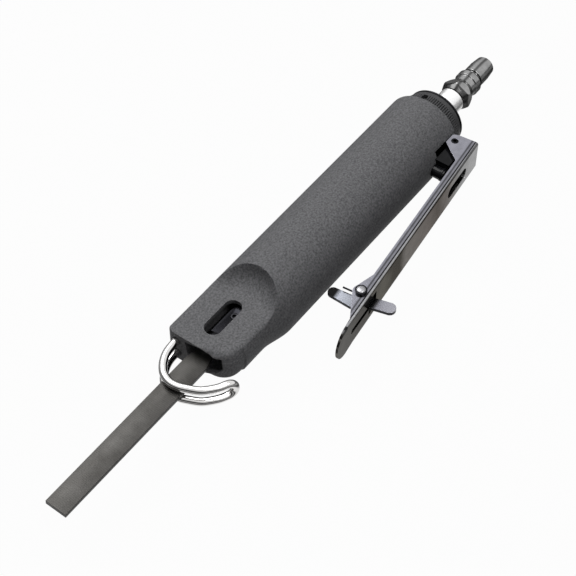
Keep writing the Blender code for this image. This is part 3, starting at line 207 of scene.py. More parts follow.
KEY_WINDOW = (7.4, 26.2, 6.4)
RIVET_ALONG = 102.2
RIVET_OUT = 5.57
RIVET_R = 1.6
LATCH_SLIT = (6.0, 16.6, 2.7)
LATCH_WINDOW = (0.6, 9.2)

# Painted reflections on the lever: bands across its folded side from the free edge to the web, then along the web
# with painted highlights and some tarnish
LEVER_CLOUDS = 8.0
LEVER_TONE_SHIFT = 0.08
LEVER_PATCHES = (3.0, 0.86, 1.1)
LEVER_ROUGHNESS = (0.8, 0.13, 0.22)
LEVER_WINDOW_SHARE = 0.35
LEVER_SIDE_REFLECTION_TONES = [(0.0, (0.30, 0.30, 0.34)), (0.17, (0.28, 0.28, 0.32)), (0.27, (0.09, 0.09, 0.10)),
                    (0.38, (0.09, 0.09, 0.10)), (0.46, (0.24, 0.24, 0.27)), (0.58, (0.22, 0.22, 0.25)),
                    (0.65, 0.03), (0.73, 0.03), (0.80, (0.36, 0.36, 0.38)), (0.92, 0.30), (1.0, 0.08)]
LEVER_WEB_TARNISH_AND_REFLECTION_TONES = [(0.05, 0.85), (0.13, 0.60), (0.22, (0.30, 0.27, 0.25)), (0.29, (0.13, 0.105, 0.085)),
                   (0.38, (0.21, 0.18, 0.16)), (0.54, (0.24, 0.22, 0.20)), (0.58, (0.045, 0.036, 0.022)),
                   (0.63, (0.05, 0.042, 0.028)), (0.68, (0.13, 0.12, 0.095)), (0.80, (0.08, 0.074, 0.066)),
                   (0.95, (0.13, 0.125, 0.115))]

# Latch, out from its rivet
LATCH_FOOT_LENGTH = 15.4
LATCH_FOOT_WIDTH = 4.9
LATCH_FOOT_LEAN = 0.8
LATCH_SHOULDER = 4.6
LATCH_HUB_R = 2.8
LATCH_HUB_LENGTH = 3.4
LATCH_WAIST_SHARE = 0.9
LATCH_TAB_LENGTH = 15.3
LATCH_TAB_WIDTH = 5.8
LATCH_TAB_LEAN = 3.4
LATCH_LEAN_SHARE = 0.55
LATCH_PLATE = 1.8
LATCH_STEPS = 28
LATCH_EDGE = 0.22
LATCH_BORE_SLACK = 0.05
LATCH_FACE_DEPTH = 0.12
LATCH_PATCHES = (4.0, 0.92, 1.04)
# Painted shade and reflection from the foot's end to the tab's end: black at the foot's end, a dark band where the
# tab passes the lever's window
LATCH_SHADE_AND_REFLECTION_TONES = [(0.0, 0.010), (0.12, 0.010), (0.19, (0.37, 0.39, 0.44)), (0.42, (0.24, 0.25, 0.28)),
               (0.68, 0.03), (0.75, (0.24, 0.24, 0.27)), (1.0, (0.30, 0.30, 0.33))]
RIVET_SIDES = 64
RIVET_GAP = 0.1
RIVET_EDGE = 0.22
RIVET_RIM_R = 2.75
RIVET_RIM_HEIGHT = 1.1
RIVET_DOME_R = 2.05
RIVET_DOME_HEIGHT = 1.6
RIVET_DOME_SINK = 0.3
RIVET_DOME_RISE = 0.1
DOME_STEPS = 6

# The other materials. Patches, clouds and grain are sizes in millimetres, patches with their two tones
COMPOSITE_GRAIN = 0.9
COMPOSITE_TONES = [(0.34, (0.064, 0.064, 0.067)), (0.68, (0.146, 0.146, 0.152))]
COMPOSITE_ROUGHNESS = [(0.3, 0.52), (0.7, 0.68)]
COMPOSITE_DEPTH = 0.16
COMPOSITE_SHINE = 0.14
FILE_CLOUDS = 11.0
FILE_TONES = [(0.3, (0.037, 0.0355, 0.033)), (0.7, (0.060, 0.058, 0.055))]
FILE_CUT_TONES = [(0.0, 0.84), (0.7, 1.0)]
FILE_CUT_SCALE = 0.314
FILE_CUT_PITCH = 0.85
FILE_CUT_WANDER = 0.6
FILE_CUT_DETAIL = 2.0
FILE_CUT_DEPTH = 0.03
EDGE_TINT = (0.5, 0.5, 0.5, 1)
# How far painted shade darkens the lever's inside, its tip's rim and the latch's edges
PAINTED_SHADE_TONE = 0.10
MARKS_PER_CLOUD = 12

# Metals: colour and roughness, and where it is set, change of tone, size of clouds and depth of marks
METALS = {
    "black_oxide": ((0.016, 0.016, 0.018), 0.30),
    # Near black: dark steel deepened with painted shade, for the holder in the key slot and the pin in its hole
    "dark_steel": ((0.012, 0.012, 0.014), 0.22),
    "ground_steel": ((0.42, 0.42, 0.43), 0.26),
    "chrome": ((0.72, 0.71, 0.70), 0.07, 0.05, 6.0, 0.004),
    # Near black: painted shade for the stem seen through the lever's key window
    "shaded_stem_steel": ((0.05, 0.05, 0.05), 0.25),
    "rivet_steel": ((0.26, 0.26, 0.27), 0.36, 0.06, 3.0, 0.004),
    "satin_chrome": ((0.93, 0.93, 0.93), 0.34, 0.02, 8.0, 0.002),
    "aluminium": ((0.72, 0.72, 0.73), 0.34),
    "brass": ((0.72, 0.52, 0.22), 0.30),
}

# Plastic, rubber and felt: colour, roughness, size and depth of the grain, and shine
SOFT_STUFFS = {
    "dark_plastic": ((0.034, 0.034, 0.036), 0.42, 1.2, 0.02, 0.3),
    # Glossy black, deepened below the housing's black as painted shade under the lever
    "shaded_boss_black": ((0.005, 0.005, 0.006), 0.13, 2.0, 0.002, 0.13),
    "rubber": ((0.022, 0.022, 0.022), 0.7, 1.5, 0.05, 0.5),
    "felt": ((0.09, 0.09, 0.09), 0.95, 0.6, 0.15, 0.5),
}

# The plug's painted shade and reflection: shade under its nozzle and under its hexagon's end, the change from one
# to the other, a dark reflection as a streak along the top and shade on its front chamfer, each with an axis and
# the two places along it that the tones lie between
PLUG_PATCHES = (3.4, 0.78, 1.12)
PLUG_SHADE_AND_REFLECTION_TONES = [("Z", -1.5, 2.5, [(0.30, 0.03), (0.55, 0.34)]),
              ("Z", -4.0, 3.0, [(0.0, 0.16), (0.9, 0.34)]),
              ("X", -212.0, -206.0, [(0.3, 0.0), (0.7, 1.0)]),
              ("Y", -1.2, 2.4, [(0.24, 1.0), (0.44, 0.30), (0.60, 0.34), (0.80, 1.0)]),
              ("X", -202.0, -198.0, [(0.42, 1.0), (0.52, 0.24)])]

# Solids that stay as they are: the width of their softened edges, then their shading and cleaning
SOFT_EDGES = {"file": 0.12, "file_holder": 0.15, "lever_pin": 0.12, "guide_screw_upper": 0.1,
              "guide_screw_lower": 0.1, "chuck_screw": 0.1}
SOFT_ANGLE = math.radians(40)
CRISP_ANGLE = math.radians(32)
SPRING_SWELL = 0.15
WELD_GAP = 0.01

# Rear end
SEAT_GAP = 0.3
DEFLECTOR_R = 15.9
DEFLECTOR_LENGTH = 8.0
DEFLECTOR_WALL = 1.8
DEFLECTOR_BACK = 1.6
DEFLECTOR_BORE_R = 9.6
DEFLECTOR_SHOULDER = 3.0
DEFLECTOR_SHOULDER_R = 15.4
DEFLECTOR_REAR_R = 15.0
DEFLECTOR_EDGE = 0.2
KNURL_COUNT = 84
KNURL_STEPS = 8
KNURL_DEPTH = 0.55
KNURL_SHARPNESS = 3
KNURL_MARGIN = 0.05
EXHAUST_HOLE = (4.2, 3.2)
EXHAUST_HOLE_ANGLE = math.radians(102.6)
EXHAUST_HOLE_SETBACK = 2.8
RETAINER_SIDES = 128
RETAINER_R = 15.0
RETAINER_THICKNESS = 1.8
RETAINER_BORE_GAP = 0.25
RETAINER_EDGE = 0.25
RETAINER_CHAMFER = (0.5, 0.6)
INLET_NECK_R = 6.4
INLET_THREAD_R = 9.2
INLET_THREAD_FRONT = 162.8
INLET_BORE_R = 4.5
INLET_SOCKET_R = 5.3
INLET_SOCKET_DEPTH = 8.3
INLET_RIM = 0.5
INLET_EDGE = 0.15
INLET_END = 197.0
NUT_FLATS = 15.0
NUT_LENGTH = 4.8
NUT_CORNER_SHARE = 0.577
NUT_FACE_SHARE = 0.535
NUT_CHAMFER = 0.7
NUT_EDGE = 0.15
PLUG_HEX_FLATS = 14.2
PLUG_HEX_TURN = math.radians(31)
PLUG_HEX_LENGTH = 4.2
PLUG_FACE_R = 6.3
PLUG_CHAMFER = 3.2
PLUG_CONE_LENGTH = 4.6
PLUG_NECK_R = 5.9
PLUG_NECK_LENGTH = 3.2
PLUG_COLLAR_R = 6.5
PLUG_COLLAR_BACK_R = 6.1
PLUG_COLLAR_LENGTH = 4.0
PLUG_COLLAR_CHAMFER = 0.5
PLUG_GROOVE_R = 4.4
PLUG_GROOVE_LENGTH = 2.0
PLUG_NOZZLE_R = 5.5
PLUG_NOZZLE_TAPER = 6.0
PLUG_LIP_R = 4.9
PLUG_LIP_LENGTH = 0.6
PLUG_END_R = 4.4
PLUG_END = 227.6
PLUG_BORE_R = 3.4
PLUG_THREAD_R = 5.0
PLUG_THREAD_LENGTH = 8.0
PLUG_EDGE = 0.22
PLUG_STALK_R = 7.4
PLUG_STALK_OVERLAP = 1.6


def ease(t):
    """0 to 1 with a soft start and end."""
    t = min(1.0, max(0.0, t))
    return t * t * (3 - 2 * t)


def soft_least(values, power):
    """Nearly the least of the values, with a round change from one to the next."""
    return sum(v ** -power for v in values) ** (-1 / power)


def arc(cx, cy, radius, start, end, count):
    """Points on an arc between two angles in degrees."""
    points = []
    for i in range(count + 1):
        a = math.radians(start + (end - start) * i / count)
        points.append((cx + radius * math.cos(a), cy + radius * math.sin(a)))
    return points


def rounded(outline, radius, closed=True):
    """The outline with each of its corners turned into an arc, no larger than its sides allow."""
    points = [Vector(p) for p in outline]
    result = []
    count = len(points)
    for i, corner in enumerate(points):
        if not closed and i in (0, count - 1):
            result.append(tuple(corner))
            continue
        before = points[i - 1] - corner
        after = points[(i + 1) % count] - corner
        if before.length == 0 or after.length == 0:
            continue
        angle = before.angle(after)
        if angle > FLATTEST_CORNER:
            result.append(tuple(corner))
            continue
        reach = min(radius / math.tan(angle / 2), before.length * SIDE_SHARE, after.length * SIDE_SHARE)
        start = corner + before.normalized() * reach
        end = corner + after.normalized() * reach
        for k in range(CORNER_STEPS + 1):
            t = k / CORNER_STEPS
            mid = start.lerp(corner, t).lerp(corner.lerp(end, t), t)
            result.append(tuple(mid))
    return result


def new_object(name, data):
    obj = bpy.data.objects.new(name, data)
    bpy.context.scene.collection.objects.link(obj)
    return obj


def tool_object(mesh, turn=0.0, at=TOOL):
    """A new object, named as its mesh in millimetres, placed at the tool's origin or another point."""
    mesh.transform(Matrix.Scale(MM, 4))
    obj = new_object(mesh.name, mesh)
    obj.location = at
    obj.rotation_euler = (0, 0, turn)
    return obj


def finish(obj, look, body, stands_for=(), angle=30):
    """Gives a piece its material, shading and body, and hides the solids that it stands for."""
    obj.data.materials.clear()
    obj.data.materials.append(LOOKS[look])
    if obj.type == "MESH":
        obj.data.shade_smooth()
        obj.data.set_sharp_from_angle(angle=math.radians(angle))
        flats = obj.modifiers.new("flats", "WEIGHTED_NORMAL")
        flats.keep_sharp = True
    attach(obj, body)
    if stands_for:
        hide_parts(*stands_for)


def mesh_from(name, build):
    mesh = bpy.data.meshes.new(name)
    bm = bmesh.new()
    build(bm)
    bmesh.ops.recalc_face_normals(bm, faces=bm.faces)
    bm.to_mesh(mesh)
    bm.free()
    return mesh


def loft(name, rings, closed=False):
    """A skin over rings of points, with a cap at each end, or joined round into a ring."""
    def build(bm):
        loops = [[bm.verts.new(p) for p in ring] for ring in rings]
        pairs = list(zip(loops, loops[1:]))
        if closed:
            pairs.append((loops[-1], loops[0]))
        for near, far in pairs:
            for i in range(len(near)):
                j = (i + 1) % len(near)
                bm.faces.new((near[i], near[j], far[j], far[i]))
        if not closed:
            bm.faces.new(list(reversed(loops[0])))
            bm.faces.new(loops[-1])
    return mesh_from(name, build)


def lathe(name, outline, steps=ROUND_SIDES, closed=True, edge=0, teeth=None):
    """A turning about the X axis. The outline is (x, radius) pairs; a closed one is a ring."""
    profile = rounded(outline, edge, closed=closed) if edge else list(outline)

    def build(bm):
        loops = []
        for i in range(steps):
            a = 2 * math.pi * i / steps
            loop = []
            for x, radius in profile:
                r = radius + (teeth(a, x, radius) if teeth else 0)
                loop.append(bm.verts.new((x, r * math.cos(a), r * math.sin(a))))
            loops.append(loop)
        for i in range(steps):
            near, far = loops[i], loops[(i + 1) % steps]
            spans = len(profile) if closed else len(profile) - 1
            for j in range(spans):
                k = (j + 1) % len(profile)
                bm.faces.new((near[j], near[k], far[k], far[j]))
        bmesh.ops.remove_doubles(bm, verts=bm.verts, dist=MERGE_GAP)
    return mesh_from(name, build)


def slab(name, outline, low, high):
    """A flat outline in X and Y, from low to high."""
    def build(bm):
        under = [bm.verts.new((x, y, low)) for x, y in outline]
        over = [bm.verts.new((x, y, high)) for x, y in outline]
        bm.faces.new(list(reversed(under)))
        bm.faces.new(over)
        for i in range(len(under)):
            j = (i + 1) % len(under)
            bm.faces.new((under[i], under[j], over[j], over[i]))
    return mesh_from(name, build)


def rod_mesh(name, radius, start, end, steps=ROD_SIDES):
    return lathe(name, [(start, 0), (start, radius), (end, radius), (end, 0)], steps, closed=False)


def stand(mesh, way):
    """Turns a mesh that was drawn along X, or flat in X and Y, to another way round."""
    turns = {"x_to_y": Matrix.Rotation(math.pi / 2, 4, "Z"),
             "x_to_z": Matrix.Rotation(-math.pi / 2, 4, "Y"),
             "flat_to_side": Matrix.Rotation(math.pi / 2, 4, "X"),
             "flat_to_front": Matrix(((0, 0, 1, 0), (1, 0, 0, 0), (0, 1, 0, 0), (0, 0, 0, 1)))}
    mesh.transform(turns[way])
    return mesh


def shifted(mesh, x=0.0, y=0.0, z=0.0):
    mesh.transform(Matrix.Translation((x, y, z)))
    return mesh


def box_mesh(name, low, high):
    outline = [(low[0], low[1]), (high[0], low[1]), (high[0], high[1]), (low[0], high[1])]
    return slab(name, outline, low[2], high[2])


def combine(obj, tool, how):
    """Takes one object out of another, joins it on or keeps what they share, and uses it up."""
    modifier = obj.modifiers.new("combine", "BOOLEAN")
    modifier.object = tool
    modifier.operation = how
    modifier.solver = "EXACT"
    apply_modifiers(obj)
    bpy.data.objects.remove(tool)


def cut(obj, meshes, how="DIFFERENCE"):
    """Cuts meshes, drawn in the piece's own millimetres, out of a piece, or joins them to it."""
    for mesh in meshes:
        mesh.transform(Matrix.Scale(MM, 4))
        tool = new_object(mesh.name, mesh)
        tool.location = obj.location
        tool.rotation_euler = obj.rotation_euler
        combine(obj, tool, how)


def apply_modifiers(obj):
    bpy.context.view_layer.update()
    graph = bpy.context.evaluated_depsgraph_get()
    mesh = bpy.data.meshes.new_from_object(obj.evaluated_get(graph))
    old = obj.data
    obj.modifiers.clear()
    obj.data = mesh
    bpy.data.meshes.remove(old)


def bevel(obj, width, segments, angle):
    modifier = obj.modifiers.new("edges", "BEVEL")
    modifier.width = width * MM
    modifier.segments = segments
    modifier.limit_method = "ANGLE"
    modifier.angle_limit = math.radians(angle)
    modifier.use_clamp_overlap = True
    apply_modifiers(obj)


def stadium(x0, x1, width, steps=16):
    """The outline of a slot with round ends."""
    r = width / 2
    return arc(x1 - r, 0, r, -90, 90, steps) + arc(x0 + r, 0, r, 90, 270, steps)


# Materials

def new_material(name, colour, roughness, metallic=0.0):
    """A material, its shader and the places on a piece from the piece's own origin."""
    mat = bpy.data.materials.new(name)
    mat.use_nodes = True
    shader = mat.node_tree.nodes["Principled BSDF"]
    shader.inputs["Base Color"].default_value = (*colour, 1)
    shader.inputs["Roughness"].default_value = roughness
    shader.inputs["Metallic"].default_value = metallic
    return mat, shader, add(mat.node_tree, "ShaderNodeTexCoord").outputs["Object"]


def add(tree, kind, **values):
    """A node with these input values and settings."""
    node = tree.nodes.new(kind)
    for key, value in values.items():
        if key in node.inputs:
            node.inputs[key].default_value = value
        else:
            setattr(node, key, value)
    return node


def feed(value, socket):
    """Gives a socket a plain number, or links another socket to it."""
    if isinstance(value, (int, float)):
        socket.default_value = value
    else:
        socket.id_data.links.new(value, socket)


def noise(where, size, detail=3.0, roughness=0.6):
    node = add(where.id_data, "ShaderNodeTexNoise", Scale=1 / (size * MM), Detail=detail,
               Roughness=roughness)
    feed(where, node.inputs["Vector"])
    return node.outputs["Fac"]


def ramp(value, stops):
    """stops are (place, grey or colour) pairs."""
    node = add(value.id_data, "ShaderNodeValToRGB")
    elements = node.color_ramp.elements
    while len(elements) < len(stops):
        elements.new(0.5)
    for element, (place, colour) in zip(elements, stops):
        element.position = place
        element.color = (*colour, 1) if isinstance(colour, tuple) else (colour, colour, colour, 1)
    feed(value, node.inputs["Fac"])
    return node.outputs["Color"]


def bump(shader, height, depth, strength=1.0):
    node = add(height.id_data, "ShaderNodeBump", Strength=strength, Distance=depth * MM)
    feed(height, node.inputs["Height"])
    feed(node.outputs["Normal"], shader.inputs["Normal"])


def blend(share, first, second, how="MIX"):
    """The first colour where the share is 0, the second, or both taken together, where it is 1."""
    mix = add(first.id_data, "ShaderNodeMix", data_type="RGBA", blend_type=how)
    colours = [socket for socket in mix.inputs if socket.type == "RGBA"]
    feed(share, mix.inputs["Factor"])
    feed(first, colours[0])
    feed(second, colours[1])
    return [socket for socket in mix.outputs if socket.type == "RGBA"][0]


def times(first, second):
    """One colour multiplied by another."""
    return blend(1.0, first, second, "MULTIPLY")


def reckon(operation, *values):
    """A sum on sockets and plain numbers, at least one of them a socket."""
    tree = next(value.id_data for value in values if not isinstance(value, (int, float)))
    node = add(tree, "ShaderNodeMath", operation=operation)
    for socket, value in zip(node.inputs, values):
        feed(value, socket)
    return node.outputs["Value"]


def axis_of(where, axis):
    split = add(where.id_data, "ShaderNodeSeparateXYZ")
    feed(where, split.inputs["Vector"])
    return split.outputs[axis]


def along(where, axis, low, high):
    """0 to 1 along one axis of a piece, between two places in millimetres."""
    span = add(where.id_data, "ShaderNodeMapRange")
    span.inputs["From Min"].default_value = low * MM
    span.inputs["From Max"].default_value = high * MM
    feed(axis_of(where, axis), span.inputs["Value"])
    return span.outputs["Result"]


def bands(where, axis, low, high, tones):
    """Tones along one axis of a piece, between two places in millimetres."""
    return ramp(along(where, axis, low, high), tones)


def patches(where, size, low, high, **fineness):
    """A soft, cloudy change of tone."""
    return ramp(noise(where, size, **fineness), [(0.3, low), (0.7, high)])


def paint(shader, colour):
    feed(colour, shader.inputs["Base Color"])


def composite_look():
    """Black moulded composite with a fine matte grain."""
    mat, shader, where = new_material("black_composite_look", (0.10, 0.10, 0.105), 0.6)
    grain = noise(where, COMPOSITE_GRAIN, roughness=0.62)
    paint(shader, ramp(grain, COMPOSITE_TONES))
    feed(ramp(grain, COMPOSITE_ROUGHNESS), shader.inputs["Roughness"])
    bump(shader, grain, COMPOSITE_DEPTH)
    shader.inputs["Specular IOR Level"].default_value = COMPOSITE_SHINE
    return mat


def metal_look(name, colour, roughness, mottle=0.12, size=6.0, scratch=0.02):
    """A metal with soft cloudy changes of tone and faint marks."""
    mat, shader, where = new_material(name, colour, roughness, 1.0)
    cloud = noise(where, size, roughness=0.55)
    low = tuple(c * (1 - mottle) for c in colour)
    high = tuple(min(1.0, c * (1 + mottle)) for c in colour)
    paint(shader, ramp(cloud, [(0.35, low), (0.65, high)]))
    marks = noise(where, size / MARKS_PER_CLOUD, detail=4.0, roughness=0.7)
    rough = ramp(marks, [(0.3, max(0.02, roughness * 0.8)), (0.7, min(1.0, roughness * 1.25))])
    feed(rough, shader.inputs["Roughness"])
    bump(shader, marks, scratch)
    return mat


def file_look():
    """Dark steel with the fine cut of a file across it."""
    mat, shader, where = new_material("file_steel_look", (0.10, 0.10, 0.10), 0.45, 0.85)
    wave = add(mat.node_tree, "ShaderNodeTexWave", wave_type="BANDS", bands_direction="X",
               Scale=FILE_CUT_SCALE / (FILE_CUT_PITCH * MM), Distortion=FILE_CUT_WANDER)
    wave.inputs["Detail Scale"].default_value = FILE_CUT_DETAIL
    feed(where, wave.inputs["Vector"])
    cuts = ramp(wave.outputs["Fac"], FILE_CUT_TONES)
    cloud = noise(where, FILE_CLOUDS)
    paint(shader, times(ramp(cloud, FILE_TONES), cuts))
    bump(shader, wave.outputs["Fac"], FILE_CUT_DEPTH, strength=0.5)
    return mat


def lever_look():
    """Dark chrome with painted reflections in bands on the folded sides and along the web, some tarnish, and
    painted shade inside and on the tip's rim.
    """
    mat, shader, where = new_material("lever_chrome_look", (0.2, 0.2, 0.2), 0.17, 1.0)
    shader.inputs["Specular Tint"].default_value = EDGE_TINT
    x, y, z = (axis_of(where, axis) for axis in "XYZ")
    cloud = noise(where, LEVER_CLOUDS)
    # Painted reflections across the folded side
    side = bands(where, "Y", LEVER_WEB_OUT - LEVER_FLANGE, LEVER_WEB_OUT, LEVER_SIDE_REFLECTION_TONES)
    shift = reckon("MULTIPLY", reckon("SUBTRACT", cloud, 0.5), LEVER_TONE_SHIFT)
    place = reckon("ADD", along(where, "X", -LEVER_REAR, LEVER_REACH), shift)
    # Painted reflections and highlights along the web, with some tarnish
    web = ramp(place, LEVER_WEB_TARNISH_AND_REFLECTION_TONES)
    outer = reckon("GREATER_THAN", reckon("ABSOLUTE", z), (LEVER_HALF_WIDTH - LEVER_BEND_R / 3) * MM)
    # Painted shade: the lever's inside, and the tip's rim past the flange, are darkened
    inner = reckon("LESS_THAN", y, (LEVER_WEB_OUT - LEVER_SHEET * LEVER_WINDOW_SHARE) * MM)
    inner = reckon("MULTIPLY", inner, reckon("SUBTRACT", 1.0, outer))
    past_flange = reckon("GREATER_THAN", x, (FRONT_EAR_END + FRONT_EAR_SHADE) * MM)
    rim = reckon("GREATER_THAN", z, (LEVER_HALF_WIDTH - LEVER_TIP_RIM) * MM)
    dark = reckon("MAXIMUM", inner, reckon("MULTIPLY", past_flange, rim))
    tone = times(blend(outer, web, side), ramp(dark, [(0.4, 1.0), (0.6, PAINTED_SHADE_TONE)]))
    paint(shader, times(tone, patches(where, *LEVER_PATCHES)))
    feed(patches(where, *LEVER_ROUGHNESS), shader.inputs["Roughness"])
    return mat


def latch_look():
    """Bright plate with painted shade and reflection: its foot's end black where it reflects and shades the
    barrel, a dark band by the window, and dark edges.
    """
    mat, shader, where = new_material("latch_plate_look", (0.4, 0.4, 0.42), 0.24, 1.0)
    tone = bands(where, "Y", -LATCH_FOOT_LENGTH, LATCH_TAB_LENGTH, LATCH_SHADE_AND_REFLECTION_TONES)
    # Painted shade on the plate's edges, darker than its faces
    face = reckon("GREATER_THAN", reckon("ABSOLUTE", axis_of(where, "Z")),
                  (LATCH_PLATE / 2 - LATCH_FACE_DEPTH) * MM)
    tone = times(tone, ramp(face, [(0.4, PAINTED_SHADE_TONE), (0.6, 1.0)]))
    paint(shader, times(tone, patches(where, *LATCH_PATCHES, detail=2.0, roughness=0.5)))
    return mat


def plug_look():
    """Grey metal with painted shade on its underside and its front chamfer, and a painted dark reflection as a
    streak along the top.
    """
    mat, shader, where = new_material("plug_metal_look", (0.3, 0.3, 0.3), 0.24, 1.0)
    shader.inputs["Specular Tint"].default_value = EDGE_TINT
    # Painted shade under the nozzle and the hexagon's end, a painted reflection streak along the top, painted
    # shade on the chamfer
    nozzle, hexagon_shade, share, streak, front = (bands(where, *table) for table in PLUG_SHADE_AND_REFLECTION_TONES)
    tone = times(times(blend(share, nozzle, hexagon_shade), streak), front)
    paint(shader, times(tone, patches(where, *PLUG_PATCHES)))
    return mat


def soft_look(name, colour, roughness, size, depth, shine):
    """Rubber, felt or plastic with a fine grain."""
    mat, shader, where = new_material(name, colour, roughness)
    grain = noise(where, size)
    low = tuple(c * 0.75 for c in colour)
    high = tuple(c * 1.3 for c in colour)
    paint(shader, ramp(grain, [(0.35, low), (0.65, high)]))
    bump(shader, grain, depth)
    shader.inputs["Specular IOR Level"].default_value = shine
    return mat


LOOKS = {"black_composite": composite_look(), "gunmetal": plug_look(), "file_steel": file_look(),
         "smoke_chrome": lever_look(), "latch_chrome": latch_look()}
LOOKS.update({name: metal_look(name + "_look", *values) for name, values in METALS.items()})
LOOKS.update({name: soft_look(name + "_look", *values) for name, values in SOFT_STUFFS.items()})


# Housing

def nose_height(back, y):
    """Half the height of the housing above and below its axis, at y across and back from the front."""
    height = NOSE_HALF_HEIGHT
    rise = back - COVE_START + (y + COVE_MIDDLE) ** 2 / (2 * COVE_PLAN_R)
    if rise >= COVE_R:
        return 2 * BARREL_R
    if rise > 0:
        height += COVE_R - math.sqrt(COVE_R ** 2 - rise ** 2)
    edge = NOSE_EDGE_R * ease((y + COVE_MIDDLE) / NOSE_EDGE_REACH)
    inward = back
    middle = NOSE_SIDE_R - NOSE_CORNER_R
    if y > middle and back < NOSE_CORNER_R:
        inward = NOSE_CORNER_R - math.hypot(NOSE_CORNER_R - back, y - middle)
    inward = max(0, inward)
    if inward < edge:
        height -= edge - math.sqrt(edge ** 2 - (edge - inward) ** 2)
    return height


def corner_reach(back, radius, side):
    """How far a rounded corner in plan reaches across."""
    if back >= radius:
        return 2 * BARREL_R
    return side - radius + math.sqrt(radius ** 2 - (radius - back) ** 2)


def section(back, count):
    """The housing's outline at a distance back from its front face."""
    base = BARREL_R
    from_rear = HOUSING_LENGTH - back
    if from_rear < REAR_FILLET:
        base += math.sqrt(REAR_FILLET ** 2 - (REAR_FILLET - from_rear) ** 2) - REAR_FILLET
    side = NOSE_SIDE_R + (BARREL_R - NOSE_SIDE_R) * ease((back - NOSE_SIDE_LENGTH) / NOSE_SIDE_TAPER)
    points = []
    for i in range(count):
        a = 2 * math.pi * (i + 0.5) / count
        c, s = math.cos(a), math.sin(a)
        lever_side = ease(c / LEVER_SIDE_SHARE)
        r = base + (min(side, base) - base) * lever_side
        low, high = 0, 2 * BARREL_R
        for _ in range(HALVINGS):
            mid = (low + high) / 2
            if mid * abs(s) > nose_height(back, mid * c):
                high = mid
            else:
                low = mid
        if c > 0:
            across = corner_reach(back, NOSE_CORNER_R, NOSE_SIDE_R) / c
        else:
            across = corner_reach(back, NOSE_LEFT_CORNER_R, BARREL_R) / -c
        limits = [r] + [limit for limit in (high, across) if limit < 2 * BARREL_R]
        if len(limits) > 1:
            power = NOSE_SHARPNESS + (NOSE_LEVER_SIDE_SHARPNESS - NOSE_SHARPNESS) * lever_side
            r = soft_least(limits, power)
        points.append((-back, r * c, r * s))
    return points


def housing_places():
    """Distances back from the front face, close together where the form turns."""
    places = [0.0]
    while places[-1] < HOUSING_LENGTH - REAR_FILLET:
        back = places[-1]
        if back < NOSE_CORNER_R + STEP_MARGIN:
            step = FINE_STEP + FINE_STEP_GROWTH * ease(back / NOSE_CORNER_R)
        elif back < NOSE_SIDE_LENGTH:
            step = NOSE_STEP
        elif back < COVE_START + COVE_R + STEP_MARGIN:
            step = COVE_STEP
        else:
            step = BARREL_STEP
        places.append(min(back + step, HOUSING_LENGTH - REAR_FILLET))
    for i in range(1, FILLET_STEPS + 1):
        places.append(HOUSING_LENGTH - REAR_FILLET * (1 - math.sin(math.pi / 2 * i / FILLET_STEPS)))
    return places


def throttle_boss(through):
    """The glossy black block that the lever is pinned to, with the column of the throttle stem, its black deepened
    with painted shade from the lever.
    """
    obj = tool_object(box_mesh("throttle_boss", (-BOSS_REAR, BOSS_ROOT, -BOSS_HALF_WIDTH),
                               (-BOSS_FRONT, BOSS_TOP, BOSS_HALF_WIDTH)))
    column = stand(rod_mesh("column", BOSS_NOSE_R, BOSS_ROOT, BOSS_TOP - BOSS_NOSE_DROP), "x_to_y")
    low, high = (BOSS_TOP - drop for drop in RIM_DROPS)
    rim_r = BOSS_NOSE_R + RIM_RISE
    profile = [(low, 0), (low, rim_r), (high, rim_r), (high, 0)]
    rim = stand(lathe("rim", profile, ROD_SIDES, False, RIM_EDGE), "x_to_y")
    cut(obj, [shifted(column, x=-STEM_PLACE), shifted(rim, x=-STEM_PLACE)], "UNION")
    cut(obj, [mesh.copy() for mesh in through])
    bevel(obj, BOSS_EDGE, segments=3, angle=38)
    finish(obj, "shaded_boss_black", "barrel", (), 32)


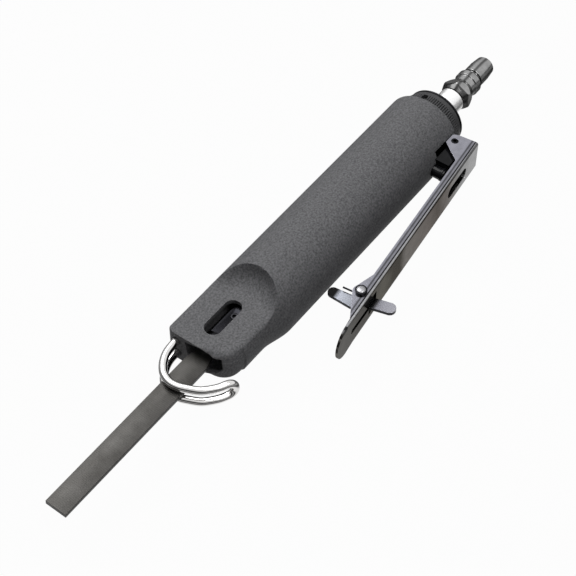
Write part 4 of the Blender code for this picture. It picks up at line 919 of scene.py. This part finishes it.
def housing():
    """The black sleeve with the openings that show, and the boss beside it."""
    sides = HOUSING_SIDES
    rings = [section(back, sides) for back in housing_places()]
    obj = tool_object(loft("housing_shell", rings))
    stem_bore = stand(rod_mesh("stem_bore", STEM_BORE_R, MAIN_BORE_R / 2, BOSS_TOP + OVERRUN), "x_to_y")
    pin_bore = stand(rod_mesh("pin_bore", PIN_BORE_R, -BARREL_R, BARREL_R), "x_to_z")
    through = [shifted(stem_bore, x=-STEM_PLACE), shifted(pin_bore, x=-LEVER_PIN_BACK, y=LEVER_PIN_SIDE)]
    throttle_boss(through)

    holes = []
    for side in (1, -1):
        low, high = sorted((side * BOSS_HALF_WIDTH, side * EAR_POCKET_OUT))
        holes.append(box_mesh("ear_pocket", (-HOUSING_LENGTH - OVERRUN, EAR_POCKET_FLOOR, low),
                              (-EAR_POCKET_FRONT, BARREL_R, high)))
    bore_front = CHAMBER_LENGTH + BULKHEAD
    holes.append(rod_mesh("main_bore", MAIN_BORE_R, -HOUSING_LENGTH - OVERRUN, -bore_front, ROUND_SIDES))
    holes.append(box_mesh("chamber", (-CHAMBER_LENGTH, -CHAMBER_LEFT, -CHAMBER_HALF_HEIGHT),
                          (-MOUTH_DEPTH, CHAMBER_RIGHT, CHAMBER_HALF_HEIGHT)))
    mouth = [(MOUTH_HALF_WIDTH * across, MOUTH_HALF_HEIGHT * up)
             for across, up in zip(MOUTH_ACROSS_SHARES, MOUTH_UP_SHARES)]
    holes.append(stand(slab("mouth", rounded(mouth, MOUTH_CORNER_R), -MOUTH_DEPTH - SEAT_GAP, OVERRUN),
                       "flat_to_front"))
    slot = slab("key_slot", stadium(-KEY_SLOT_LENGTH / 2, KEY_SLOT_LENGTH / 2, KEY_SLOT_WIDTH, steps=24),
                NOSE_HALF_HEIGHT / 2, NOSE_HALF_HEIGHT + OVERRUN)
    holes.append(shifted(slot, x=-KEY_SLOT_MID, y=-KEY_SLOT_OFFSET))
    holes.append(rod_mesh("rod_hole", ROD_HOLE_R, -bore_front - OVERRUN, -CHAMBER_LENGTH + OVERRUN))
    for z in (WIRE_HALF_SPACING, -WIRE_HALF_SPACING):
        leg = rod_mesh("leg_hole", WIRE_R + WIRE_HOLE_GAP, -WIRE_LEG_DEPTH - OVERRUN, OVERRUN)
        holes.append(shifted(leg, y=-WIRE_LEG_SIDE, z=z))
        screw = stand(rod_mesh("screw_hole", GUIDE_SCREW_R + GUIDE_SCREW_GAP, -BARREL_R - OVERRUN,
                               -WIRE_LEG_SIDE), "x_to_y")
        holes.append(shifted(screw, x=-GUIDE_SCREW_PLACE, z=z))
    cut(obj, holes + through)
    bevel(obj, HOUSING_EDGE, segments=3, angle=38)
    finish(obj, "black_composite", "barrel", ("housing",), 32)


# Wire guide

def smooth_path(points, samples):
    """Points on a Catmull-Rom curve through the given ones."""
    ends = [points[0] * 2 - points[1]] + points + [points[-1] * 2 - points[-2]]
    path = []
    for a, b, c, d in zip(ends, ends[1:], ends[2:], ends[3:]):
        for i in range(samples):
            t = i / samples
            path.append(((b * 2) + (c - a) * t + (a * 2 - b * 5 + c * 4 - d) * t * t
                         + (b * 3 - a - c * 3 + d) * t ** 3) / 2)
    path.append(points[-1])
    return path


def wire_guide():
    """One bent wire: two legs, a bow round the file and a hairpin between its ends."""
    leg = [(-WIRE_LEG_DEPTH, -WIRE_LEG_SIDE), (-WIRE_LEG_DEPTH / 3, -WIRE_LEG_SIDE)]
    bow = [(WIRE_REACH * out, WIRE_LEG_SIDE * side) for out, side in zip(WIRE_OUT_SHARES, WIRE_SIDE_SHARES)]
    upper = [Vector((x, y, WIRE_HALF_SPACING)) for x, y in leg + bow]
    last = upper[-1]
    way = (last - upper[-2]).normalized()
    hairpin = []
    for i in range(1, HAIRPIN_STEPS):
        a = math.pi * i / HAIRPIN_STEPS
        spot = last + way * (WIRE_HALF_SPACING * math.sin(a))
        hairpin.append(Vector((spot.x, spot.y, WIRE_HALF_SPACING * math.cos(a))))
    lower = [Vector((p.x, p.y, -p.z)) for p in reversed(upper)]
    path = smooth_path(upper + hairpin + lower, WIRE_SAMPLES)

    curve = bpy.data.curves.new("guide_wire", "CURVE")
    curve.dimensions = "3D"
    curve.bevel_depth = WIRE_R * MM
    curve.bevel_resolution = WIRE_SIDES
    curve.use_fill_caps = True
    spline = curve.splines.new("POLY")
    spline.points.add(len(path) - 1)
    spline.use_smooth = True
    for point, place in zip(spline.points, path):
        point.co = (*(place * MM), 1)
    obj = new_object("guide_wire", curve)
    obj.location = TOOL
    finish(obj, "chrome", "guide", ("wire_guide",))


# Lever

def lever():
    """The stamped lever, drawn along and out from its pin."""
    flange = LEVER_WEB_OUT - LEVER_FLANGE
    web_in = LEVER_WEB_OUT - LEVER_SHEET
    tip_in = web_in + LEVER_TIP_LIFT
    outline = [(-LEVER_REAR, LEVER_WEB_OUT), (-LEVER_REAR, 0)]
    outline += arc(0, 0, LEVER_EAR_R, 180, LEVER_EAR_ANGLE, EAR_STEPS)[1:]
    outline += [(LEVER_EAR_END, flange), (FRONT_EAR_START, flange)]
    outline += arc(RIVET_ALONG, RIVET_OUT, FRONT_EAR_R, *FRONT_EAR_ANGLES, FRONT_EAR_STEPS)
    outline += [(FRONT_EAR_END, web_in), (LEVER_REACH, tip_in)]
    outline += [(LEVER_REACH, tip_in + LEVER_TIP_SHEET), (FRONT_EAR_END, LEVER_WEB_OUT)]
    half = LEVER_HALF_WIDTH
    obj = tool_object(slab("lever_pressing", outline, -half, half), LEVER_TILT, LEVER_PIN)
    round_bends(obj)
    inside = half - LEVER_SHEET
    cutters = [box_mesh("inside", (-LEVER_REAR - OVERRUN, -LEVER_EAR_R - OVERRUN, -inside),
                        (FRONT_EAR_END, web_in, inside))]

    def through_web(outline, name):
        mesh = stand(slab(name, outline, -LEVER_SHEET * 2, LEVER_SHEET * 2), "flat_to_side")
        cutters.append(shifted(mesh, y=LEVER_WEB_OUT))

    centre = LEVER_REACH - LEVER_TIP_R
    for side in (1, -1):
        tip = [(centre, side * (half + OVERRUN)), (LEVER_REACH + LEVER_TIP_R, side * (half + OVERRUN)),
               (LEVER_REACH + LEVER_TIP_R, 0)]
        through_web(tip + [(u, side * v) for u, v in arc(centre, 0, LEVER_TIP_R, 0, 90, EAR_STEPS)], "tip")
    through_web(stadium(*KEY_WINDOW), "window")
    before, after, width = LATCH_SLIT
    through_web(stadium(RIVET_ALONG - before, RIVET_ALONG + after, width, steps=8), "slit")
    ahead, width = LATCH_WINDOW
    cutters.append(box_mesh("latch_window", (RIVET_ALONG - before, web_in - LEVER_SHEET, -width / 2),
                            (RIVET_ALONG + ahead, LEVER_WEB_OUT + OVERRUN, width / 2)))
    cutters.append(stand(rod_mesh("pin_hole", PIN_BORE_R, -half * 2, half * 2), "x_to_z"))
    rivet_hole = stand(rod_mesh("rivet_hole", PIN_BORE_R, -half * 2, half * 2), "x_to_z")
    cutters.append(shifted(rivet_hole, x=RIVET_ALONG, y=RIVET_OUT))
    middle = LEVER_WEB_OUT - GROOVE_DROP
    groove = [(middle, half - GROOVE_DEPTH), (middle + GROOVE_HALF_WIDTH, half + GROOVE_OUT),
              (middle - GROOVE_HALF_WIDTH, half + GROOVE_OUT)]
    ends = (-LEVER_REAR + GROOVE_ENDS[0], FRONT_EAR_END - GROOVE_ENDS[1])
    for side in (1, -1):
        cutters.append(loft("groove", [[(u, v, side * z) for v, z in groove] for u in ends]))
    cut(obj, cutters)
    bevel(obj, LEVER_EDGE, segments=2, angle=40)
    finish(obj, "smoke_chrome", "lever", ("throttle_lever",), 25)


def round_bends(obj):
    """Rounds the two long bends between the lever's web and its flanges."""
    bm = bmesh.new()
    bm.from_mesh(obj.data)
    edges = []
    for edge in bm.edges:
        a, b = edge.verts
        on_web = all(abs(v.co.y - LEVER_WEB_OUT * MM) < LEVER_BEND_SLACK * MM for v in (a, b))
        if on_web and abs(a.co.x - b.co.x) > LEVER_HALF_WIDTH * MM:
            edges.append(edge)
    bmesh.ops.bevel(bm, geom=edges, offset=LEVER_BEND_R * MM, segments=LEVER_BEND_STEPS, profile=0.5,
                    affect="EDGES")
    bm.to_mesh(obj.data)
    bm.free()


def latch():
    """The latch's plate with its hub."""
    half_foot = LATCH_FOOT_WIDTH / 2
    half_tab = LATCH_TAB_WIDTH / 2
    lean = LATCH_TAB_LEAN * LATCH_LEAN_SHARE
    outline = arc(LATCH_FOOT_LEAN, half_foot - LATCH_FOOT_LENGTH, half_foot, 180, 360, LATCH_STEPS)
    outline += [(LATCH_SHOULDER, -LATCH_HUB_R * LATCH_WAIST_SHARE), (LATCH_HUB_R, LATCH_HUB_R / 2)]
    outline += [(half_tab - lean, LATCH_HUB_R)]
    outline += arc(-LATCH_TAB_LEAN, LATCH_TAB_LENGTH - half_tab, half_tab, 0, 180, LATCH_STEPS)
    outline += [(-half_tab - lean, LATCH_HUB_R), (LATCH_FOOT_LEAN - half_foot, 0)]
    half = LATCH_PLATE / 2
    obj = tool_object(slab("latch_plate", outline, -half, half), LEVER_TILT, RIVET)
    hub = stand(rod_mesh("hub", LATCH_HUB_R, -LATCH_HUB_LENGTH / 2, LATCH_HUB_LENGTH / 2), "x_to_z")
    cut(obj, [hub], "UNION")
    bore = rod_mesh("bore", PIN_BORE_R - LATCH_BORE_SLACK, -LATCH_HUB_LENGTH, LATCH_HUB_LENGTH)
    cut(obj, [stand(bore, "x_to_z")])
    bevel(obj, LATCH_EDGE, segments=3, angle=35)
    finish(obj, "latch_chrome", "latch", ("safety_latch",), 30)


def latch_rivet():
    """The rivet, its rim and shank near black as painted shade on the head's side, with a grey dome on each end.
    """
    face = LEVER_HALF_WIDTH + RIVET_GAP
    rim = face + RIVET_RIM_HEIGHT
    upper = [(rim, 0), (rim, RIVET_RIM_R), (face, RIVET_RIM_R), (face, RIVET_R)]
    lower = [(-up, radius) for up, radius in reversed(upper)]
    shank = stand(lathe("rivet_shank", upper + lower, RIVET_SIDES, False, RIVET_EDGE), "x_to_z")
    obj = tool_object(shank, LEVER_TILT, RIVET)
    # Black as painted shade on the side of the rivet's head
    finish(obj, "black_oxide", "lever", ("latch_rivet",), 30)
    foot = rim + RIVET_DOME_RISE
    height = face + RIVET_DOME_HEIGHT - rim
    for side, label in ((1, "upper"), (-1, "lower")):
        dome = [(side * (rim - RIVET_DOME_SINK), 0), (side * (rim - RIVET_DOME_SINK), RIVET_DOME_R),
                (side * foot, RIVET_DOME_R)]
        for i in range(1, DOME_STEPS + 1):
            a = math.pi / 2 * i / DOME_STEPS
            dome.append((side * (foot + height * math.sin(a)), RIVET_DOME_R * math.cos(a)))
        cap = stand(lathe("rivet_dome_" + label, dome, RIVET_SIDES, False), "x_to_z")
        obj = tool_object(cap, LEVER_TILT, RIVET)
        finish(obj, "rivet_steel", "lever", (), 40)


# Rear end

def deflector():
    """The knurled ring and the rim behind it. Returns where the inlet's nut starts."""
    front = -HOUSING_LENGTH - 2 * SEAT_GAP
    rear = front - DEFLECTOR_LENGTH
    knurl_end = rear + DEFLECTOR_SHOULDER

    def teeth(a, x, radius):
        if radius < DEFLECTOR_R - DEFLECTOR_EDGE or x < knurl_end - KNURL_MARGIN:
            return 0
        phase = (a * KNURL_COUNT / (2 * math.pi)) % 1
        return -KNURL_DEPTH * abs(2 * phase - 1) ** KNURL_SHARPNESS

    inner = DEFLECTOR_R - DEFLECTOR_WALL
    back = rear + DEFLECTOR_BACK
    outline = [(front, DEFLECTOR_R), (knurl_end, DEFLECTOR_R), (knurl_end, DEFLECTOR_SHOULDER_R),
               (rear, DEFLECTOR_REAR_R), (rear, DEFLECTOR_BORE_R), (back, DEFLECTOR_BORE_R), (back, inner),
               (front, inner)]
    ring = lathe("deflector_ring", outline, KNURL_COUNT * KNURL_STEPS, True, DEFLECTOR_EDGE, teeth)
    obj = tool_object(ring)
    length, width = EXHAUST_HOLE
    hole = slab("hole", stadium(-length / 2, length / 2, width), -DEFLECTOR_WALL, DEFLECTOR_WALL)
    hole.transform(Matrix.Rotation(EXHAUST_HOLE_ANGLE - math.pi / 2, 4, "X"))
    out = DEFLECTOR_R - DEFLECTOR_WALL / 2
    shifted(hole, front - EXHAUST_HOLE_SETBACK, out * math.cos(EXHAUST_HOLE_ANGLE),
            out * math.sin(EXHAUST_HOLE_ANGLE))
    cut(obj, [hole])
    finish(obj, "dark_plastic", "deflector", ("exhaust_deflector",), 35)

    end = rear - RETAINER_THICKNESS
    inner = INLET_THREAD_R + RETAINER_BORE_GAP
    deep, high = RETAINER_CHAMFER
    rim = [(rear, inner), (rear, RETAINER_R - high), (rear - deep, RETAINER_R), (end + deep, RETAINER_R),
           (end, RETAINER_R - high), (end, inner)]
    obj = tool_object(lathe("retainer_ring", rim, RETAINER_SIDES, True, RETAINER_EDGE))
    finish(obj, "black_oxide", "barrel", ("deflector_retainer",))
    return end - SEAT_GAP


def hexagon(flats, turn=0.0):
    corner = flats / math.sqrt(3)
    return [(corner * math.cos(math.pi * i / 3 + turn), corner * math.sin(math.pi * i / 3 + turn))
            for i in range(6)]


def inlet(nut_front):
    """The chromed bushing with its nut."""
    front = -INLET_THREAD_FRONT
    rear = -INLET_END
    socket = rear + INLET_SOCKET_DEPTH
    profile = [(front, INLET_BORE_R), (front, INLET_THREAD_R), (nut_front, INLET_THREAD_R),
               (nut_front, INLET_NECK_R), (rear + INLET_RIM, INLET_NECK_R),
               (rear, INLET_NECK_R - INLET_RIM), (rear, INLET_SOCKET_R), (socket, INLET_SOCKET_R),
               (socket, INLET_BORE_R)]
    obj = tool_object(lathe("bushing_body", profile, edge=INLET_EDGE))
    finish(obj, "satin_chrome", "barrel", ("inlet_bushing",))

    nut_rear = nut_front - NUT_LENGTH
    bore = INLET_NECK_R + SKIN_GAP
    face = NUT_FLATS * NUT_FACE_SHARE
    corner = NUT_FLATS * NUT_CORNER_SHARE
    profile = [(nut_front, bore), (nut_front, face), (nut_front - NUT_CHAMFER, corner),
               (nut_rear + NUT_CHAMFER, corner), (nut_rear, face), (nut_rear, bore)]
    obj = tool_object(lathe("bushing_nut", profile))
    prism = slab("prism", hexagon(NUT_FLATS), nut_front - 2 * NUT_LENGTH, nut_front + OVERRUN)
    cut(obj, [stand(prism, "flat_to_front")], "INTERSECT")
    bevel(obj, NUT_EDGE, segments=2, angle=20)
    finish(obj, "satin_chrome", "barrel", (), 20)


def plug():
    """The quick-connect plug: thread, hexagon, cone, collar, groove and nozzle."""
    start = -INLET_END - SEAT_GAP
    thread = start + PLUG_THREAD_LENGTH
    corner = PLUG_HEX_FLATS / math.sqrt(3)
    hex_end = start - PLUG_HEX_LENGTH
    cone_end = hex_end - PLUG_CONE_LENGTH
    neck_end = cone_end - PLUG_NECK_LENGTH
    collar_end = neck_end - PLUG_COLLAR_LENGTH
    groove_end = collar_end - PLUG_GROOVE_LENGTH
    end = -PLUG_END
    profile = [(thread, PLUG_BORE_R), (thread, PLUG_THREAD_R), (start, PLUG_THREAD_R),
               (start, PLUG_FACE_R), (start - PLUG_CHAMFER, corner), (hex_end, corner),
               (cone_end, PLUG_NECK_R), (neck_end, PLUG_NECK_R),
               (neck_end - PLUG_COLLAR_CHAMFER, PLUG_COLLAR_R),
               (collar_end + PLUG_COLLAR_CHAMFER, PLUG_COLLAR_R), (collar_end, PLUG_COLLAR_BACK_R),
               (collar_end, PLUG_GROOVE_R), (groove_end, PLUG_GROOVE_R), (groove_end, PLUG_NOZZLE_R),
               (end + PLUG_NOZZLE_TAPER, PLUG_NOZZLE_R), (end + PLUG_LIP_LENGTH, PLUG_LIP_R),
               (end, PLUG_END_R), (end, PLUG_BORE_R)]
    obj = tool_object(lathe("coupler_plug", profile, edge=PLUG_EDGE))
    prism = slab("plug_envelope", hexagon(PLUG_HEX_FLATS, PLUG_HEX_TURN), cone_end, start + OVERLAP)
    envelope = tool_object(stand(prism, "flat_to_front"))
    over_thread = (start - OVERLAP, thread + OVERLAP)
    over_stalk = (end - OVERRUN, cone_end + PLUG_STALK_OVERLAP)
    cut(envelope, [rod_mesh("over_thread", PLUG_THREAD_R + SKIN_GAP, *over_thread, ROUND_SIDES),
                   rod_mesh("over_stalk", PLUG_STALK_R, *over_stalk, ROUND_SIDES)], "UNION")
    combine(obj, envelope, "INTERSECT")
    finish(obj, "gunmetal", "barrel", ("air_plug",), 25)


# Nodes that keep their own solids

def dress_nodes():
    """Gives every node that stays its material, and smooth shading with crisp edges."""
    looks = {part["node"]: part["material_slot"] for part in frame["record"]["subparts"]}
    looks["latch_spring"] = "black_oxide"
    # The throttle stem gets painted shade, near black inside the key window
    looks["throttle_stem"] = "shaded_stem_steel"
    for name, obj in frame["nodes"].items():
        obj.data.materials.clear()
        obj.data.materials.append(LOOKS[looks[name]])
        for face in obj.data.polygons:
            face.use_smooth = True
        weld = obj.modifiers.new("weld", "WELD")
        weld.merge_threshold = WELD_GAP * MM
        if name in SOFT_EDGES:
            soft = obj.modifiers.new("soft", "BEVEL")
            soft.width = SOFT_EDGES[name] * MM
            soft.segments = 2
            soft.limit_method = "ANGLE"
            soft.angle_limit = SOFT_ANGLE
        if name == "latch_spring":
            swell = obj.modifiers.new("swell", "DISPLACE")
            swell.strength = SPRING_SWELL * MM
            swell.mid_level = 0
        crisp = obj.modifiers.new("crisp", "EDGE_SPLIT")
        crisp.split_angle = CRISP_ANGLE


# Studio

def studio():
    """The photograph's camera, the lamps, the floor and the sky."""
    scene = bpy.context.scene
    data = bpy.data.cameras.new("camera")
    data.lens = CAMERA_LENS
    data.sensor_width = SENSOR
    data.clip_start = CLIP_START
    camera = new_object("camera", data)
    right, up = Vector(CAMERA_RIGHT), Vector(CAMERA_UP)
    turn = Matrix((right, up, right.cross(up))).transposed().to_4x4()
    camera.matrix_world = Matrix.Translation(TOOL + Vector(CAMERA_PLACE) * MM) @ turn
    scene.camera = camera

    for name, place, size, power in LAMPS:
        lamp(name, place, size, power)

    floor_mesh = box_mesh("floor", *FLOOR_BOX)
    floor_mesh.transform(Matrix.Scale(MM, 4))
    floor_mesh.materials.append(floor_look())
    floor = new_object("floor", floor_mesh)
    sky()
    scene.view_settings.view_transform = "Standard"


def floor_look():
    """White to the camera but for the object's shadow, and darker far off in reflections."""
    mat, shader, _ = new_material("floor_look", FLOOR_COLOUR, 0.7)
    tree = mat.node_tree
    path = add(tree, "ShaderNodeLightPath").outputs
    glow = add(tree, "ShaderNodeEmission")
    facing = add(tree, "ShaderNodeLayerWeight").outputs["Facing"]
    far = ramp(facing, FLOOR_FAR_TONES)
    feed(reckon("MAXIMUM", path["Is Camera Ray"], far), glow.inputs["Color"])
    seen = reckon("MAXIMUM", path["Is Glossy Ray"], path["Is Transmission Ray"])
    seen = reckon("MAXIMUM", path["Is Camera Ray"], seen)
    share = reckon("MULTIPLY", seen, FLOOR_GLOW_SHARE)
    both = either(share, shader.outputs["BSDF"], glow.outputs["Emission"])
    feed(both, tree.nodes["Material Output"].inputs["Surface"])
    return mat


def either(share, first, second):
    """The first shader where the share is 0, the second where it is 1."""
    mix = add(share.id_data, "ShaderNodeMixShader")
    for value, socket in zip((share, first, second), mix.inputs):
        feed(value, socket)
    return mix.outputs["Shader"]


def lamp(name, place, size, power):
    data = bpy.data.lights.new(name, "AREA")
    data.size = size
    data.energy = power
    obj = new_object(name, data)
    obj.location = place
    obj.rotation_euler = (Vector(place) * -1).to_track_quat("-Z", "Y").to_euler()


def sky():
    """Pale to the camera, softer to matte surfaces, and a studio with a dark skirting to metal."""
    world = bpy.data.worlds.new("studio")
    bpy.context.scene.world = world
    world.use_nodes = True
    tree = world.node_tree
    plain = tree.nodes["Background"]
    plain.inputs["Color"].default_value = (1, 1, 1, 1)
    plain.inputs["Strength"].default_value = SKY_STRENGTH
    pale = add(tree, "ShaderNodeBackground", Color=SKY_COLOUR)
    shiny = add(tree, "ShaderNodeBackground")
    way = add(tree, "ShaderNodeTexCoord").outputs["Generated"]
    front = reckon("MAXIMUM", axis_of(way, "X"), 0.0)
    skirting = reckon("MULTIPLY_ADD", front, SKIRTING_FRONT, SKIRTING_HEIGHT)
    height = reckon("MULTIPLY", reckon("DIVIDE", axis_of(way, "Z"), skirting), 0.5)
    feed(ramp(height, SKIRTING_TONES), shiny.inputs["Color"])
    path = add(tree, "ShaderNodeLightPath").outputs
    unseen = either(path["Is Glossy Ray"], plain.outputs["Background"], shiny.outputs["Background"])
    every = either(path["Is Camera Ray"], unseen, pale.outputs["Background"])
    feed(every, tree.nodes["World Output"].inputs["Surface"])


dress_nodes()
housing()
wire_guide()
lever()
latch()
latch_rivet()
inlet(nut_front=deflector())
plug()
studio()
